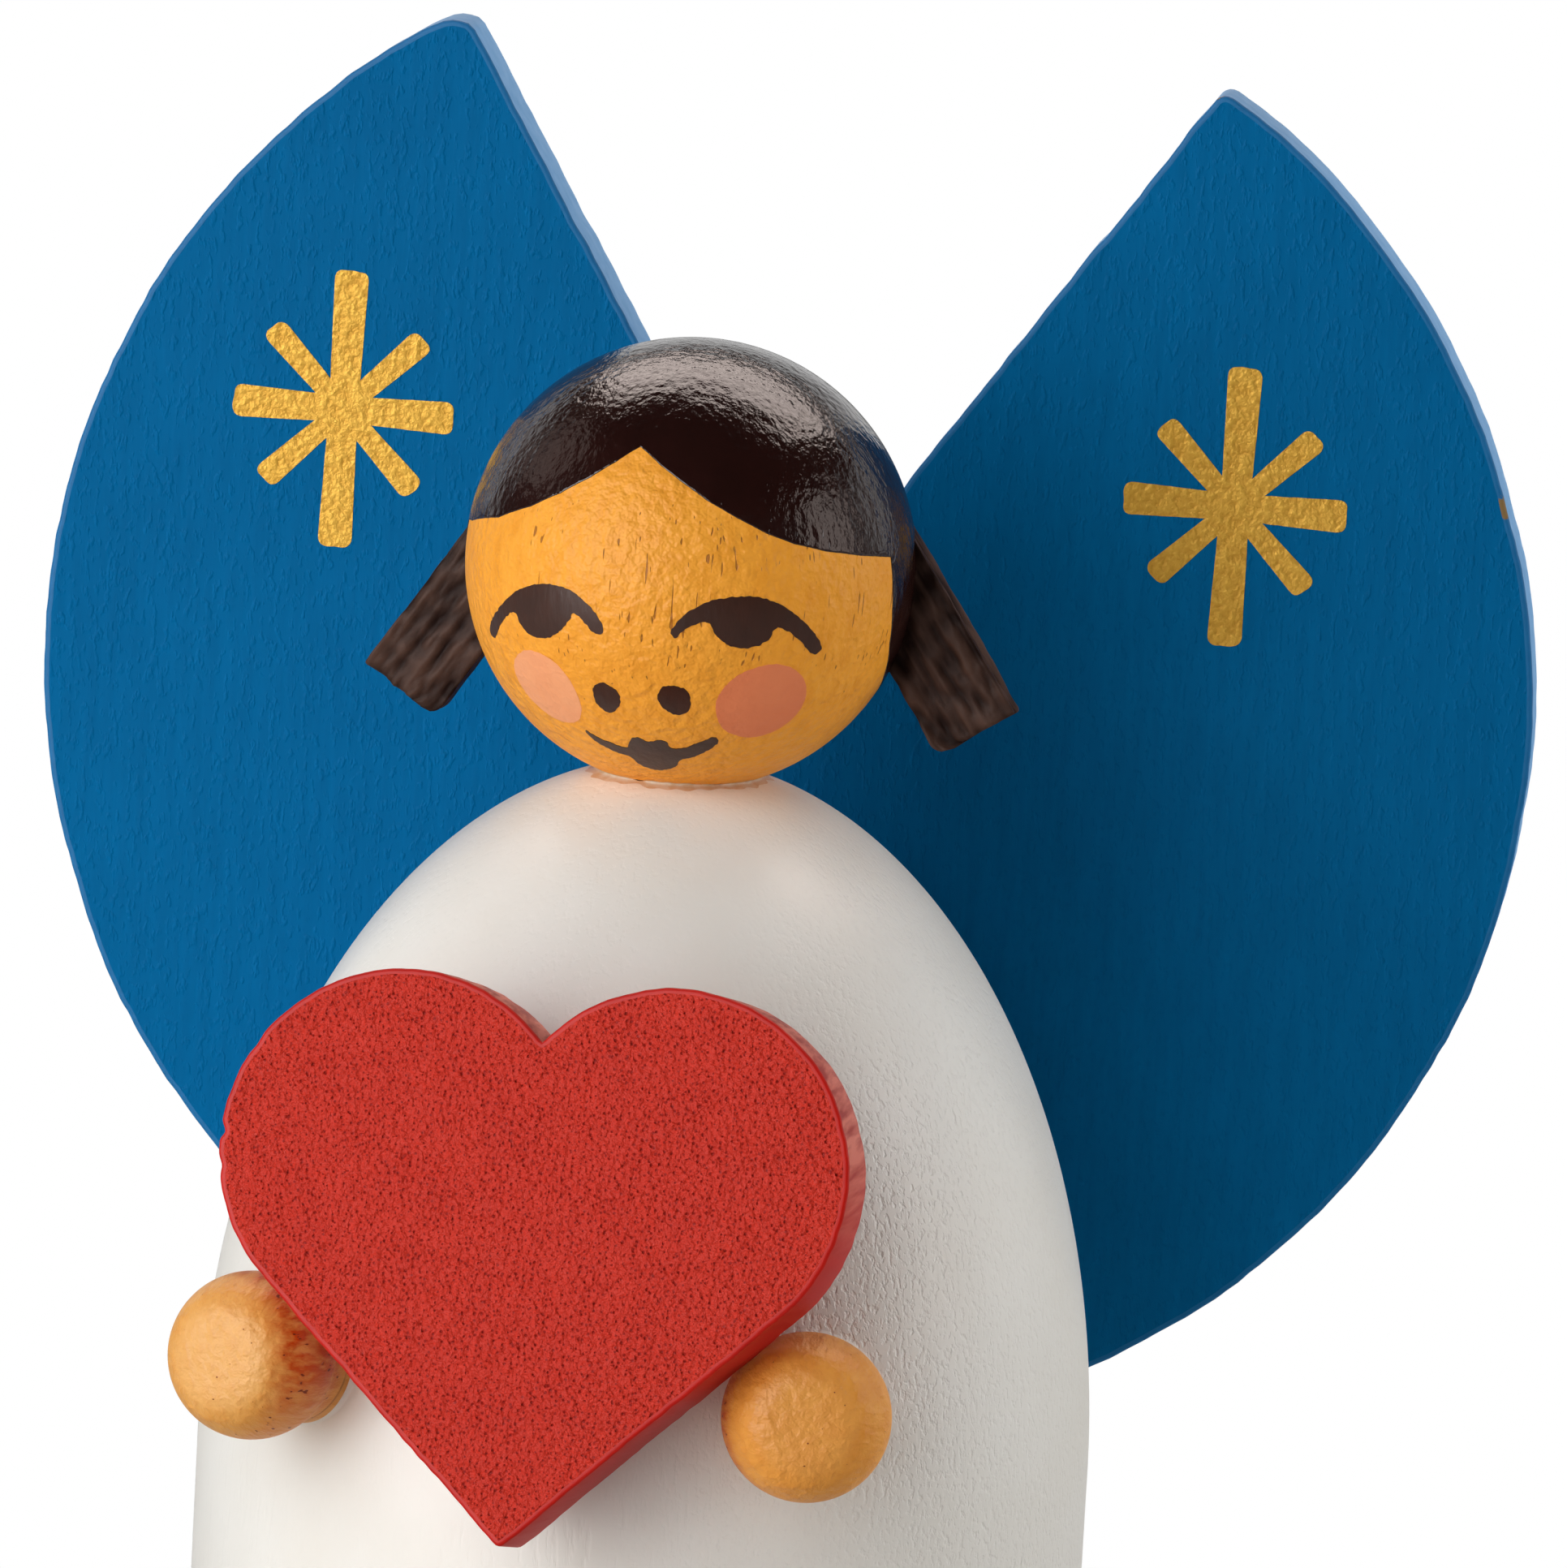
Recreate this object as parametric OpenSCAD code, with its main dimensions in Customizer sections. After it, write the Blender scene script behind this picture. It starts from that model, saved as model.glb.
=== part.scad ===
// Rocking angel of turned wood, in millimetres.
// The figure hangs on a wire axle that runs from front to back through a post on a round base,
// and a steel ring in its skirt brings it back upright.
// The origin is the centre of the base's underside, +Z is up and the face looks along -Y.

/* [Stand] */
// Radius of the round base
base_r = 14; // [11:0.5:20]
// Height of the base
base_h = 4.5; // [3.5:0.5:8]
// Width of the bevel round the base's top edge
base_bevel = 0.6; // [0.2:0.1:1.2]
// Radius of the dowel post
post_r = 2; // [1.8:0.1:2.4]
// Depth of the post's socket in the base
post_socket = 3; // [2:0.25:3]
// How far the post stands above the axle
post_above = 2.2; // [1.6:0.1:3]
// Gap between the hem and the base at rest
hem_gap = 2; // [1.9:0.1:4]

/* [Skirt] */
// Radius of the body at its widest
body_r = 12; // [11.6:0.2:14]
// Height of the dome above the widest level
dome_h = 18.75; // [18:0.25:22]
// Height of the straight skirt below the widest level
skirt_h = 15; // [12:0.5:16]
// Thickness of the skirt's wall
wall = 3; // [2.8:0.1:3.4]
// Height of the hollow above the widest level
hollow_h = 13; // [12:0.25:13.5]
// Radius of the flat seat between body and head
neck_r = 2.2; // [1.8:0.1:2.6]
// Radius of the rounded hem
hem_round = 0.6; // [0.2:0.1:1]

/* [Axle] */
// Radius of the wire axle
axle_r = 0.75; // [0.6:0.05:0.9]
// Height of the axle above the widest level
axle_rise = 6; // [5.5:0.25:6.5]
// Wood left in front of the axle's blind end
axle_cover = 1.2; // [0.8:0.1:1.6]
// How far the axle's rear end lies below the surface
axle_sink = 0.3; // [0.2:0.05:0.6]
// Running clearance on the axle, on the radius
run_gap = 0.05; // [0.02:0.01:0.1]
// Outer radius of the spacer tubes on the axle
spacer_r = 1.5; // [1.2:0.1:1.7]
// Play at each end of a spacer tube
spacer_play = 0.3; // [0.2:0.05:0.6]

/* [Ballast ring] */
// Thickness of the steel ring
ballast_t = 2; // [1.5:0.1:2.1]
// Height of the steel ring
ballast_h = 8; // [6:0.5:9]
// Height of the steel ring above the hem
ballast_lift = 1; // [0.5:0.25:2]

/* [Head] */
// Radius of the ball head
head_r = 6; // [5.6:0.1:6.6]
// Radius of the neck dowel
neck_dowel_r = 1; // [0.8:0.1:1.2]
// Depth of the neck dowel in the head, and in the body
neck_dowel_depth = 3; // [2:0.25:3.5]

/* [Pigtails] */
// Width of a pigtail splint
pigtail_w = 2.4; // [1.8:0.1:2.6]
// Thickness of a pigtail splint
pigtail_t = 0.9; // [0.7:0.1:1.2]
// Length of a pigtail's centre line outside the head
pigtail_l = 3.8; // [3:0.1:5]
// Depth of a pigtail's root in the head
pigtail_root = 2; // [1.8:0.1:2.4]
// Lean of a pigtail from the upright, in degrees
pigtail_lean = 34; // [28:1:38]
// Distance of the pigtails behind the head's middle
pigtail_back = 1.1; // [0.6:0.1:1.6]
// Depth of a pigtail's place on the head's side, below the head's middle
pigtail_low = 1; // [0.5:0.1:1.4]

/* [Arms] */
// Radius of the hand ball
hand_r = 2.2; // [2:0.05:2.3]
// Radius of the flat end of the hand
hand_flat_r = 1.2; // [0.9:0.05:1.5]
// Distance from the body's surface to the middle of the hand
hand_reach = 2.65; // [2.5:0.05:2.8]
// Radius of the arm at its waist
arm_waist_r = 1.85; // [1.75:0.05:1.9]
// Radius of the arm's root and collar
arm_root_r = 1.9; // [1.85:0.05:1.95]
// Depth of the arm's root in the body
arm_root = 1.4; // [1.2:0.1:1.6]
// Depth of the arms on the body, below the place that is nearest to the heart
arm_drop = 2.74; // [2.7:0.02:3]
// Place of each arm round the body from straight ahead, in degrees
arm_place = 35.5; // [35.25:0.25:38]
// Outward turn of each arm from straight ahead, in degrees
arm_turn = 14; // [12:0.5:18]
// Upward tilt of the arms, in degrees
arm_tilt = 7; // [4:1:8]

/* [Heart] */
// Turn of heart and arms together round the body, away from the head's facing, in degrees
front_turn = 1.7; // [0:0.1:3]
// Radius of the heart's two lobes
lobe_r = 4.75; // [4.4:0.05:5]
// Distance of each lobe's middle from the heart's centre line
lobe_out = 3.6; // [3:0.05:3.8]
// Height of the lobes' middles above the heart's tip
lobe_up = 9.9; // [9.4:0.1:10.5]
// Thickness of the heart plate
heart_t = 2; // [1.6:0.1:2.6]
// Backward lean of the heart, in degrees
heart_lean = 13.4; // [12:0.2:15]
// Turn of the heart in its own plane, in degrees
heart_turn = 1.6; // [0:0.1:1.6]
// Height above the heart's tip of the place that is nearest to the body
heart_drop = 6.8; // [6.6:0.1:6.9]
// Distance of the heart's back from the body, which lets the hands reach behind its edge
heart_stand = 1.6; // [1.6:0.05:1.9]
// Sideways distance of the heart's centre line from the middle between the arms
heart_aside = 0.4; // [0.2:0.05:0.4]
// Radius of the heart's dowel
heart_dowel_r = 0.75; // [0.6:0.05:0.9]
// Height of the dowel above the place where heart and body are nearest
heart_dowel_up = 2.6; // [2.4:0.1:3.2]
// Depth of the dowel in the heart
heart_dowel_out = 1.2; // [1:0.1:1.4]
// Depth of the dowel in the body, counted from the dome's tangent plane
heart_dowel_in = 2.2; // [1.6:0.1:2.4]

/* [Wings] */
// Radius of the wing disc
wing_r = 20.8; // [19:0.1:22]
// Thickness of the wing disc
wing_t = 2.1; // [1.5:0.1:2.6]
// Height of the wing disc's middle above the widest level
wing_rise = 18.9; // [17:0.1:19.5]
// Opening angle of the notch between the wings, in degrees
wing_notch = 66; // [50:1:80]
// Height of the notch's corner above the disc's middle
notch_up = 1.7; // [0:0.1:4]
// Turn of the wings in their own plane, in degrees
wing_turn = 2.2; // [-6:0.2:6]
// Turn of the wings about the upright, in degrees
wing_swing = 6; // [0:0.5:8]
// Sideways distance of the disc's middle from its seat on the body
wing_aside = 1.3; // [0:0.1:1.6]
// Depth of the flat on the body's back that the wing disc sits on
wing_seat = 0.3; // [0.2:0.05:0.5]
// Radius of the wing dowel
wing_dowel_r = 1; // [0.8:0.05:1.2]
// Depth of the wing dowel in the wing disc
wing_dowel_out = 1; // [0.8:0.1:1.2]
// Depth of the wing dowel in the body
wing_dowel_in = 1.9; // [1.5:0.1:2]
// Height of the wing dowel above the disc's lowest point
wing_dowel_up = 3.1; // [2:0.1:3.6]

/* [Fits] */
// Gap for glue round each seated piece
glue_gap = 0.05; // [0.03:0.01:0.08]

/* [Hidden] */

// Number of straight steps along the dome's outline, the hollow's outline and the hem's round
dome_steps = 30;
hollow_steps = 14;
hem_steps = 4;
// Overlap that lets a cutting tool pass clean through a face
cut = 1;
$fn = 96;

// Heights of the main levels
wide_z = base_h + hem_gap + skirt_h;
hem_z = wide_z - skirt_h;
axle_z = wide_z + axle_rise;
bore_r = body_r - wall;
neck_angle = acos(neck_r / body_r);
seat_z = wide_z + dome_h * sin(neck_angle);
head_z = seat_z + glue_gap + sqrt(head_r * head_r - neck_r * neck_r);
wing_z = wide_z + wing_rise;
wing_dowel_rise = wing_rise - wing_r + wing_dowel_up;
seat_y = body_r - wing_seat;

// Radius of the body's outside, and of its hollow, at a height above the widest level
function dome_radius(rise) = body_r * sqrt(1 - pow(rise / dome_h, 2));
function hollow_radius(rise) = bore_r * sqrt(1 - pow(rise / hollow_h, 2));

// Ends of the axle and of its spacer tubes along Y
axle_front = axle_cover - dome_radius(axle_rise);
axle_back = dome_radius(axle_rise) - axle_sink;
spacer_start = post_r + spacer_play;
spacer_end = hollow_radius(axle_rise + spacer_r) - spacer_play;

// Place on the dome that is nearest to the heart's back
heart_angle = atan(tan(heart_lean) * dome_h / body_r);
heart_y = -body_r * cos(heart_angle);
heart_rise = dome_h * sin(heart_angle);
heart_z = wide_z + heart_rise;

// Height of the arms above the widest level
arm_rise = heart_rise - arm_drop;

// Direction of the heart's lower sides from its centre line
heart_side = atan(lobe_out / lobe_up) + asin(lobe_r / norm([lobe_out, lobe_up]));

// Lengths along an arm, counted from the end of its root
hand_mid = arm_root + hand_reach;
hand_end = hand_mid + sqrt(hand_r * hand_r - hand_flat_r * hand_flat_r);

module base_disc() {
    color("burlywood") difference() {
        union() {
            cylinder(r = base_r, h = base_h - base_bevel);
            translate([0, 0, base_h - base_bevel])
                cylinder(r1 = base_r, r2 = base_r - base_bevel, h = base_bevel);
        }
        translate([0, 0, base_h - post_socket]) cylinder(r = post_r + glue_gap, h = post_socket + cut);
    }
}

module post() {
    post_bottom = base_h - post_socket + glue_gap;
    color("wheat") difference() {
        translate([0, 0, post_bottom]) cylinder(r = post_r, h = axle_z + post_above - post_bottom);
        translate([0, 0, axle_z]) rotate([90, 0, 0])
            cylinder(r = axle_r + run_gap, h = 2 * (post_r + cut), center = true);
    }
}

// A round bar along Y from one place to another, at a height
module bar_along_y(radius, from, to, height) {
    translate([0, from, height]) rotate([-90, 0, 0]) cylinder(r = radius, h = to - from);
}

module axle_pin() {
    color("silver") bar_along_y(axle_r, axle_front + glue_gap, axle_back, axle_z);
}

module axle_spacers() {
    color("gold") for (side = [0, 180]) rotate([0, 0, side]) difference() {
        bar_along_y(spacer_r, spacer_start, spacer_end, axle_z);
        bar_along_y(axle_r + run_gap, spacer_start - cut, spacer_end + cut, axle_z);
    }
}

// Outline of the hollow body, from the neck round the hem to the top of the hollow
function skirt_outline() = concat(
    [[0, seat_z]],
    [for (step = [0 : dome_steps]) let (angle = neck_angle * (1 - step / dome_steps))
        [body_r * cos(angle), wide_z + dome_h * sin(angle)]],
    [for (step = [0 : hem_steps]) let (angle = 90 * step / hem_steps)
        [body_r - hem_round + hem_round * cos(angle), hem_z + hem_round - hem_round * sin(angle)]],
    [[bore_r, hem_z]],
    [for (step = [0 : hollow_steps]) let (angle = 90 * step / hollow_steps)
        [bore_r * cos(angle), wide_z + hollow_h * sin(angle)]]
);

module skirt_body() {
    color("ghostwhite") difference() {
        rotate_extrude() polygon(skirt_outline());
        bar_along_y(axle_r + glue_gap, axle_front, body_r + cut, axle_z);
        on_wing_seat() {
            translate([wing_aside, 0, 0]) bar_along_y(wing_r + glue_gap, 0, wing_seat + cut, wing_rise);
            bar_along_y(wing_dowel_r + glue_gap, -wing_dowel_in, cut, wing_dowel_rise);
        }
        translate([0, 0, seat_z - neck_dowel_depth])
            cylinder(r = neck_dowel_r + glue_gap, h = neck_dowel_depth + cut);
        on_heart_plane() translate([0, heart_dowel_up, -heart_dowel_in])
            cylinder(r = heart_dowel_r + glue_gap, h = heart_dowel_in + cut);
        for (side = [-1, 1]) on_arm_axis(side) translate([0, 0, -glue_gap])
            cylinder(r = arm_root_r + glue_gap, h = hand_mid);
    }
}

module ballast_ring() {
    ring_r = bore_r - glue_gap;
    color("slategray") translate([0, 0, hem_z + ballast_lift]) difference() {
        cylinder(r = ring_r, h = ballast_h);
        translate([0, 0, -cut]) cylinder(r = ring_r - ballast_t, h = ballast_h + 2 * cut);
    }
}

module neck_dowel() {
    color("wheat") translate([0, 0, seat_z + glue_gap - neck_dowel_depth])
        cylinder(r = neck_dowel_r, h = 2 * neck_dowel_depth - glue_gap);
}

module head() {
    color("sandybrown") difference() {
        translate([0, 0, head_z]) sphere(r = head_r);
        translate([-head_r, -head_r, seat_z + glue_gap - 2 * head_r]) cube(2 * head_r);
        translate([0, 0, seat_z])
            cylinder(r = neck_dowel_r + glue_gap, h = neck_dowel_depth + 2 * glue_gap);
        for (side = [-1, 1]) on_pigtail(side)
            translate([-pigtail_w / 2 - glue_gap, -pigtail_t / 2 - glue_gap, -pigtail_root - glue_gap])
                cube([pigtail_w + 2 * glue_gap, pigtail_t + 2 * glue_gap, pigtail_root + head_r]);
    }
}

// Frame of a pigtail: origin where its centre line leaves the head, +Z down along the splint
module on_pigtail(side) {
    leave_x = sqrt(head_r * head_r - pigtail_back * pigtail_back - pigtail_low * pigtail_low);
    translate([side * leave_x, pigtail_back, head_z - pigtail_low])
        rotate([0, side * (180 - pigtail_lean), 0]) children();
}

module pigtail(side) {
    color("saddlebrown") on_pigtail(side)
        translate([-pigtail_w / 2, -pigtail_t / 2, -pigtail_root])
            cube([pigtail_w, pigtail_t, pigtail_root + pigtail_l]);
}

module pigtail_left() pigtail(1);

module pigtail_right() pigtail(-1);

// Frame of an arm: origin in the middle of its root's end, +Z out along the arm
module on_arm_axis(side) {
    place_r = dome_radius(arm_rise);
    rotate([0, 0, -front_turn])
        translate([side * place_r * sin(arm_place), -place_r * cos(arm_place), wide_z + arm_rise])
            rotate([90 - arm_tilt, 0, side * arm_turn]) translate([0, 0, -arm_root]) children();
}

// A turned peg: straight root, slim waist and a ball hand with a flat end
module arm(side) {
    ball_start = acos(arm_waist_r / hand_r);
    ball_stop = acos(hand_flat_r / hand_r);
    ball_steps = 16;
    outline = concat(
        [[0, 0], [arm_root_r, 0], [arm_root_r, arm_root]],
        [for (step = [0 : ball_steps])
            let (angle = -ball_start + (ball_stop + ball_start) * step / ball_steps)
            [hand_r * cos(angle), hand_mid + hand_r * sin(angle)]],
        [[0, hand_end]]
    );
    color("sandybrown") on_arm_axis(side) rotate_extrude($fn = 64) polygon(outline);
}

module arm_left() arm(1);

module arm_right() arm(-1);

// Frame of the heart: origin on the dome, +Y up along the plate, +Z out to its front
module on_heart_plane() {
    rotate([0, 0, -front_turn]) translate([0, heart_y, heart_z])
        rotate([90 - heart_lean, 0, 0]) children();
}

// Two round lobes and the straight sides that run from them to the tip
module heart_outline() {
    side_x = lobe_out + lobe_r * cos(heart_side);
    side_y = lobe_up - lobe_r * sin(heart_side);
    translate([0, -heart_drop]) {
        polygon([[0, 0], [side_x, side_y], [lobe_out, lobe_up], [-lobe_out, lobe_up], [-side_x, side_y]]);
        for (side = [-1, 1]) translate([side * lobe_out, lobe_up]) circle(r = lobe_r);
    }
}

module heart() {
    color("firebrick") on_heart_plane() translate([0, 0, heart_stand]) difference() {
        linear_extrude(heart_t) translate([heart_aside, 0]) rotate(heart_turn) heart_outline();
        translate([0, heart_dowel_up, -cut])
            cylinder(r = heart_dowel_r + glue_gap, h = cut + heart_dowel_out + glue_gap);
    }
}

module heart_dowel() {
    color("wheat") on_heart_plane() translate([0, heart_dowel_up, glue_gap - heart_dowel_in])
        cylinder(r = heart_dowel_r, h = heart_dowel_in - glue_gap + heart_stand + heart_dowel_out);
}

// Frame of the wings' seat: origin on the flat at the widest level, +Y out of the body's back
module on_wing_seat() {
    rotate([0, 0, wing_swing]) translate([0, seat_y, wide_z]) children();
}

// A disc with a wedge cut out of its upper side, which leaves two wings
module wing_disc() {
    reach = 2 * wing_r;
    notch_x = reach * tan(wing_notch / 2);
    color("royalblue") on_wing_seat() difference() {
        translate([wing_aside, glue_gap + wing_t, wing_rise]) rotate([90, 0, 0]) linear_extrude(wing_t)
            rotate(-wing_turn) difference() {
                circle(r = wing_r);
                translate([0, notch_up]) polygon([[0, 0], [notch_x, reach], [-notch_x, reach]]);
            }
        bar_along_y(wing_dowel_r + glue_gap, 0, wing_dowel_out + 2 * glue_gap, wing_dowel_rise);
    }
}

module wing_dowel() {
    color("wheat") on_wing_seat()
        bar_along_y(wing_dowel_r, glue_gap - wing_dowel_in, glue_gap + wing_dowel_out, wing_dowel_rise);
}

base_disc();
post();
axle_pin();
axle_spacers();
skirt_body();
ballast_ring();
neck_dowel();
head();
pigtail_left();
pigtail_right();
arm_left();
arm_right();
heart();
heart_dowel();
wing_disc();
wing_dowel();
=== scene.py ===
# Looks of the rocking angel: a small painted figure of turned wood that hangs on a wire axle.
# Shapes are worked out in millimetres, and MM turns them into metres when a mesh is made.
import math

import bpy
from mathutils import Matrix, Vector, geometry, noise


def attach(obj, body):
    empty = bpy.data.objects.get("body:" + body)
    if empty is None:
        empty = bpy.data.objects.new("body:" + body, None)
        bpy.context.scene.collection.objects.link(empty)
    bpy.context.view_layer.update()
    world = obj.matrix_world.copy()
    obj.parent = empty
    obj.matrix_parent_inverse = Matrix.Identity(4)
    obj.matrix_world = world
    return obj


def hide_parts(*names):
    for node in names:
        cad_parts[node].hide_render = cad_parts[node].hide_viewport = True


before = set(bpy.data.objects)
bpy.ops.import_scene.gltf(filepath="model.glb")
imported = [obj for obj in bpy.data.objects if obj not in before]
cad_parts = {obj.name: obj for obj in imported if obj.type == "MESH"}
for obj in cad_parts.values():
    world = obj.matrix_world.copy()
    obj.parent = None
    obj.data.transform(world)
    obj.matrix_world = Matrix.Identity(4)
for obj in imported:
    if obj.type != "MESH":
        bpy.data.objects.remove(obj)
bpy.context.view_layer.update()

# Base disc: a flat disc of beech, turned on a lathe and varnished matte.
# Its top edge is bevelled, and the post is glued into a socket in its middle.
MM = 0.001
ROUND_STEPS = 192
base_radius = 14.0
base_height = 4.5
base_bevel = 0.6
base_softening = 0.18
fleck_width = 0.32
band_width = 2.0
lathe_feed = 0.9


def linear(hex_colour):
    """Turns an sRGB hex colour into the linear colour that a shader takes."""
    channels = [int(hex_colour[start:start + 2], 16) / 255 for start in (1, 3, 5)]
    return [c / 12.92 if c <= 0.04045 else ((c + 0.055) / 1.055) ** 2.4 for c in channels] + [1.0]


def add(tree, kind, settings, inputs):
    """Adds one shader node, with its settings, and its inputs as values or as links from other nodes.

    Inputs go by name or number. A MapRange takes 0, the value, 1 and 2, from, and 3 and 4, to.
    A colour Mix takes 0, the share, and 6 and 7, the two colours.
    """
    node = tree.nodes.new("ShaderNode" + kind)
    for name, value in settings.items():
        setattr(node, name, value)
    for key, value in inputs.items():
        if isinstance(value, bpy.types.NodeSocket):
            tree.links.new(value, node.inputs[key])
        else:
            node.inputs[key].default_value = value
    return node


def start_material(name, roughness, reflection=0.5):
    """Makes a material and returns it with its tree, its shader and the surface point in millimetres."""
    material = bpy.data.materials.new(name)
    material.use_nodes = True
    tree = material.node_tree
    shader = tree.nodes["Principled BSDF"]
    shader.inputs["Roughness"].default_value = roughness
    shader.inputs["Specular IOR Level"].default_value = reflection
    place = add(tree, "TexCoord", {}, {})
    point = add(tree, "VectorMath", {"operation": "SCALE"}, {0: place.outputs["Object"], "Scale": 1 / MM})
    return material, tree, shader, point.outputs[0]


def clouded(tree, point, size, detail, pale, deep):
    """Adds two tones that mix in clouds of the given size. Returns the clouds and the mixed tone."""
    clouds = add(tree, "TexNoise", {}, {"Vector": point, "Scale": 1 / size, "Detail": detail})
    tone = add(tree, "Mix", {"data_type": "RGBA"}, {0: clouds.outputs[0], 6: linear(pale), 7: linear(deep)})
    return clouds.outputs[0], tone.outputs[2]


def finish_material(shader, tone, relief=None):
    """Gives a material's shader its tone and, where there is one, its relief."""
    shader.id_data.links.new(tone, shader.inputs["Base Color"])
    if relief:
        shader.id_data.links.new(relief.outputs[0], shader.inputs["Normal"])


def make_piece(name, points, faces, materials, body):
    """Makes a smooth mesh from points in millimetres, and lets it ride on a body of the part."""
    mesh = bpy.data.meshes.new(name)
    mesh.from_pydata([Vector(point) * MM for point in points], [], faces)
    mesh.validate()
    mesh.polygons.foreach_set("use_smooth", [True] * len(mesh.polygons))
    for material in materials:
        mesh.materials.append(material)
    piece = bpy.data.objects.new(name, mesh)
    bpy.context.scene.collection.objects.link(piece)
    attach(piece, body)
    return piece


def skin(rings):
    """Joins neighbouring rings of points, given by their numbers, with faces."""
    faces = []
    for low, high in zip(rings, rings[1:]):
        for step in range(len(low)):
            after = (step + 1) % len(low)
            corners = [low[step], low[after], high[after], high[step]]
            face = list(dict.fromkeys(corners))
            if len(face) > 2:
                faces.append(face)
    return faces


def turned(profile, steps):
    """Sweeps an outline of (radius, height) points round Z. A point on the axis becomes one shared point."""
    points = []
    rings = []
    for radius, height in profile:
        if radius < 1e-6:
            rings.append([len(points)] * steps)
            points.append(Vector((0, 0, height)))
            continue
        rings.append(range(len(points), len(points) + steps))
        for step in range(steps):
            angle = math.tau * step / steps
            points.append(Vector((radius * math.cos(angle), radius * math.sin(angle), height)))
    return points, skin(rings)


def softened(corners, radius, steps=4):
    """Rounds the inner corners of an open outline with short curves of the given reach."""
    outline = [Vector(corners[0])]
    for before, corner, after in zip(corners, corners[1:], corners[2:]):
        corner = Vector(corner)
        start = (Vector(before) - corner).normalized() * radius + corner
        end = (Vector(after) - corner).normalized() * radius + corner
        for step in range(steps + 1):
            share = step / steps
            outline.append(start.lerp(corner, share).lerp(corner.lerp(end, share), share))
    outline.append(Vector(corners[-1]))
    return outline


# Beech shows fine brown flecks along the grain under a matte varnish, and faint rings from the lathe.
beech, tree, shader, point = start_material("turned_beech_matte_varnish", 0.5)
along_grain = add(tree, "Mapping", {}, {"Vector": point, "Scale": (0.12, 1.0, 1.0)})
flecks = add(tree, "TexNoise", {},
             {"Vector": along_grain.outputs[0], "Scale": 1 / fleck_width, "Detail": 3.0})
fleck_mask = add(tree, "MapRange", {}, {0: flecks.outputs[0], 1: 0.58, 2: 0.72})
wood_tone = clouded(tree, along_grain.outputs[0], band_width, 2.0, "#D9B384", "#C2935F")[1]
flecked = add(tree, "Mix", {"data_type": "RGBA"},
              {0: fleck_mask.outputs[0], 6: wood_tone, 7: linear("#93663A")})
lathe_rings = add(tree, "TexWave", {"wave_type": "RINGS", "rings_direction": "Z"},
                  {"Vector": point, "Scale": 0.5 / lathe_feed, "Distortion": 0.6})
relief = add(tree, "Bump", {}, {"Strength": 0.35, "Distance": 0.02 * MM, "Height": lathe_rings.outputs[0]})
finish_material(shader, flecked.outputs[2], relief)

base_profile = softened(
    [(0, 0), (base_radius, 0), (base_radius, base_height - base_bevel),
     (base_radius - base_bevel, base_height), (0, base_height)], base_softening)
base_points, base_faces = turned(base_profile, ROUND_STEPS)
base = make_piece("turned_base", base_points, base_faces, [beech], "stand")
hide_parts("base_disc")

# Dowels: bought beech rod, ground round and left bare. The thick one is the post that carries the axle,
# and three thin ones join head, heart and wings to the body. The post's foot and the heart's dowel show.
fibre_width = 0.2

# Bare ground beech is pale and dull, with fine fibres along the rod.
rod, tree, shader, point = start_material("ground_beech_rod", 0.6)
along_rod = add(tree, "Mapping", {}, {"Vector": point, "Scale": (1.0, 1.0, 0.1)})
fibres, rod_tone = clouded(tree, along_rod.outputs[0], fibre_width, 4.0, "#E2C596", "#B98B58")
relief = add(tree, "Bump", {}, {"Strength": 0.3, "Distance": 0.02 * MM, "Height": fibres})
finish_material(shader, rod_tone, relief)


def finish_node(name, material):
    """Gives a CAD node the material in all its slots."""
    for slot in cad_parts[name].material_slots:
        slot.material = material


for dowel in ("post", "neck_dowel", "heart_dowel", "wing_dowel"):
    finish_node(dowel, rod)

# Axle: bright drawn steel wire, with two short pieces of drawn brass tube on it as spacers.
# The ring below it is turned from steel bar and lightly oiled, and its weight rights the figure.
draw_line = 0.08
tarnish_size = 0.8
tool_feed = 0.11

# Wire is bright, with faint lines along it. Brass is warm, with tarnish in clouds.
# Turned steel is darker, with fine tool lines round it that can be felt.
for node, finish, roughness, stretch, mark_size, detail, pale, deep, groove_strength in (
        ("axle_pin", "drawn_bright_wire", 0.22,
         (1.0, 0.04, 1.0), draw_line, 2.0, "#C9CBCE", "#9A9DA2", 0.0),
        ("axle_spacers", "drawn_brass_tube", 0.28,
         (1.0, 1.0, 1.0), tarnish_size, 4.0, "#D8B766", "#A67F3A", 0.0),
        ("ballast_ring", "turned_oiled_steel", 0.35,
         (0.05, 0.05, 1.0), tool_feed, 2.0, "#8E9094", "#5F6166", 0.4)):
    metal, tree, shader, point = start_material(finish, roughness)
    shader.inputs["Metallic"].default_value = 1.0
    drawn_out = add(tree, "Mapping", {}, {"Vector": point, "Scale": stretch})
    marks, metal_tone = clouded(tree, drawn_out.outputs[0], mark_size, detail, pale, deep)
    relief = None
    if groove_strength:
        relief = add(tree, "Bump", {},
                     {"Strength": groove_strength, "Distance": 0.02 * MM, "Height": marks})
    finish_material(shader, metal_tone, relief)
    finish_node(node, metal)

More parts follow.
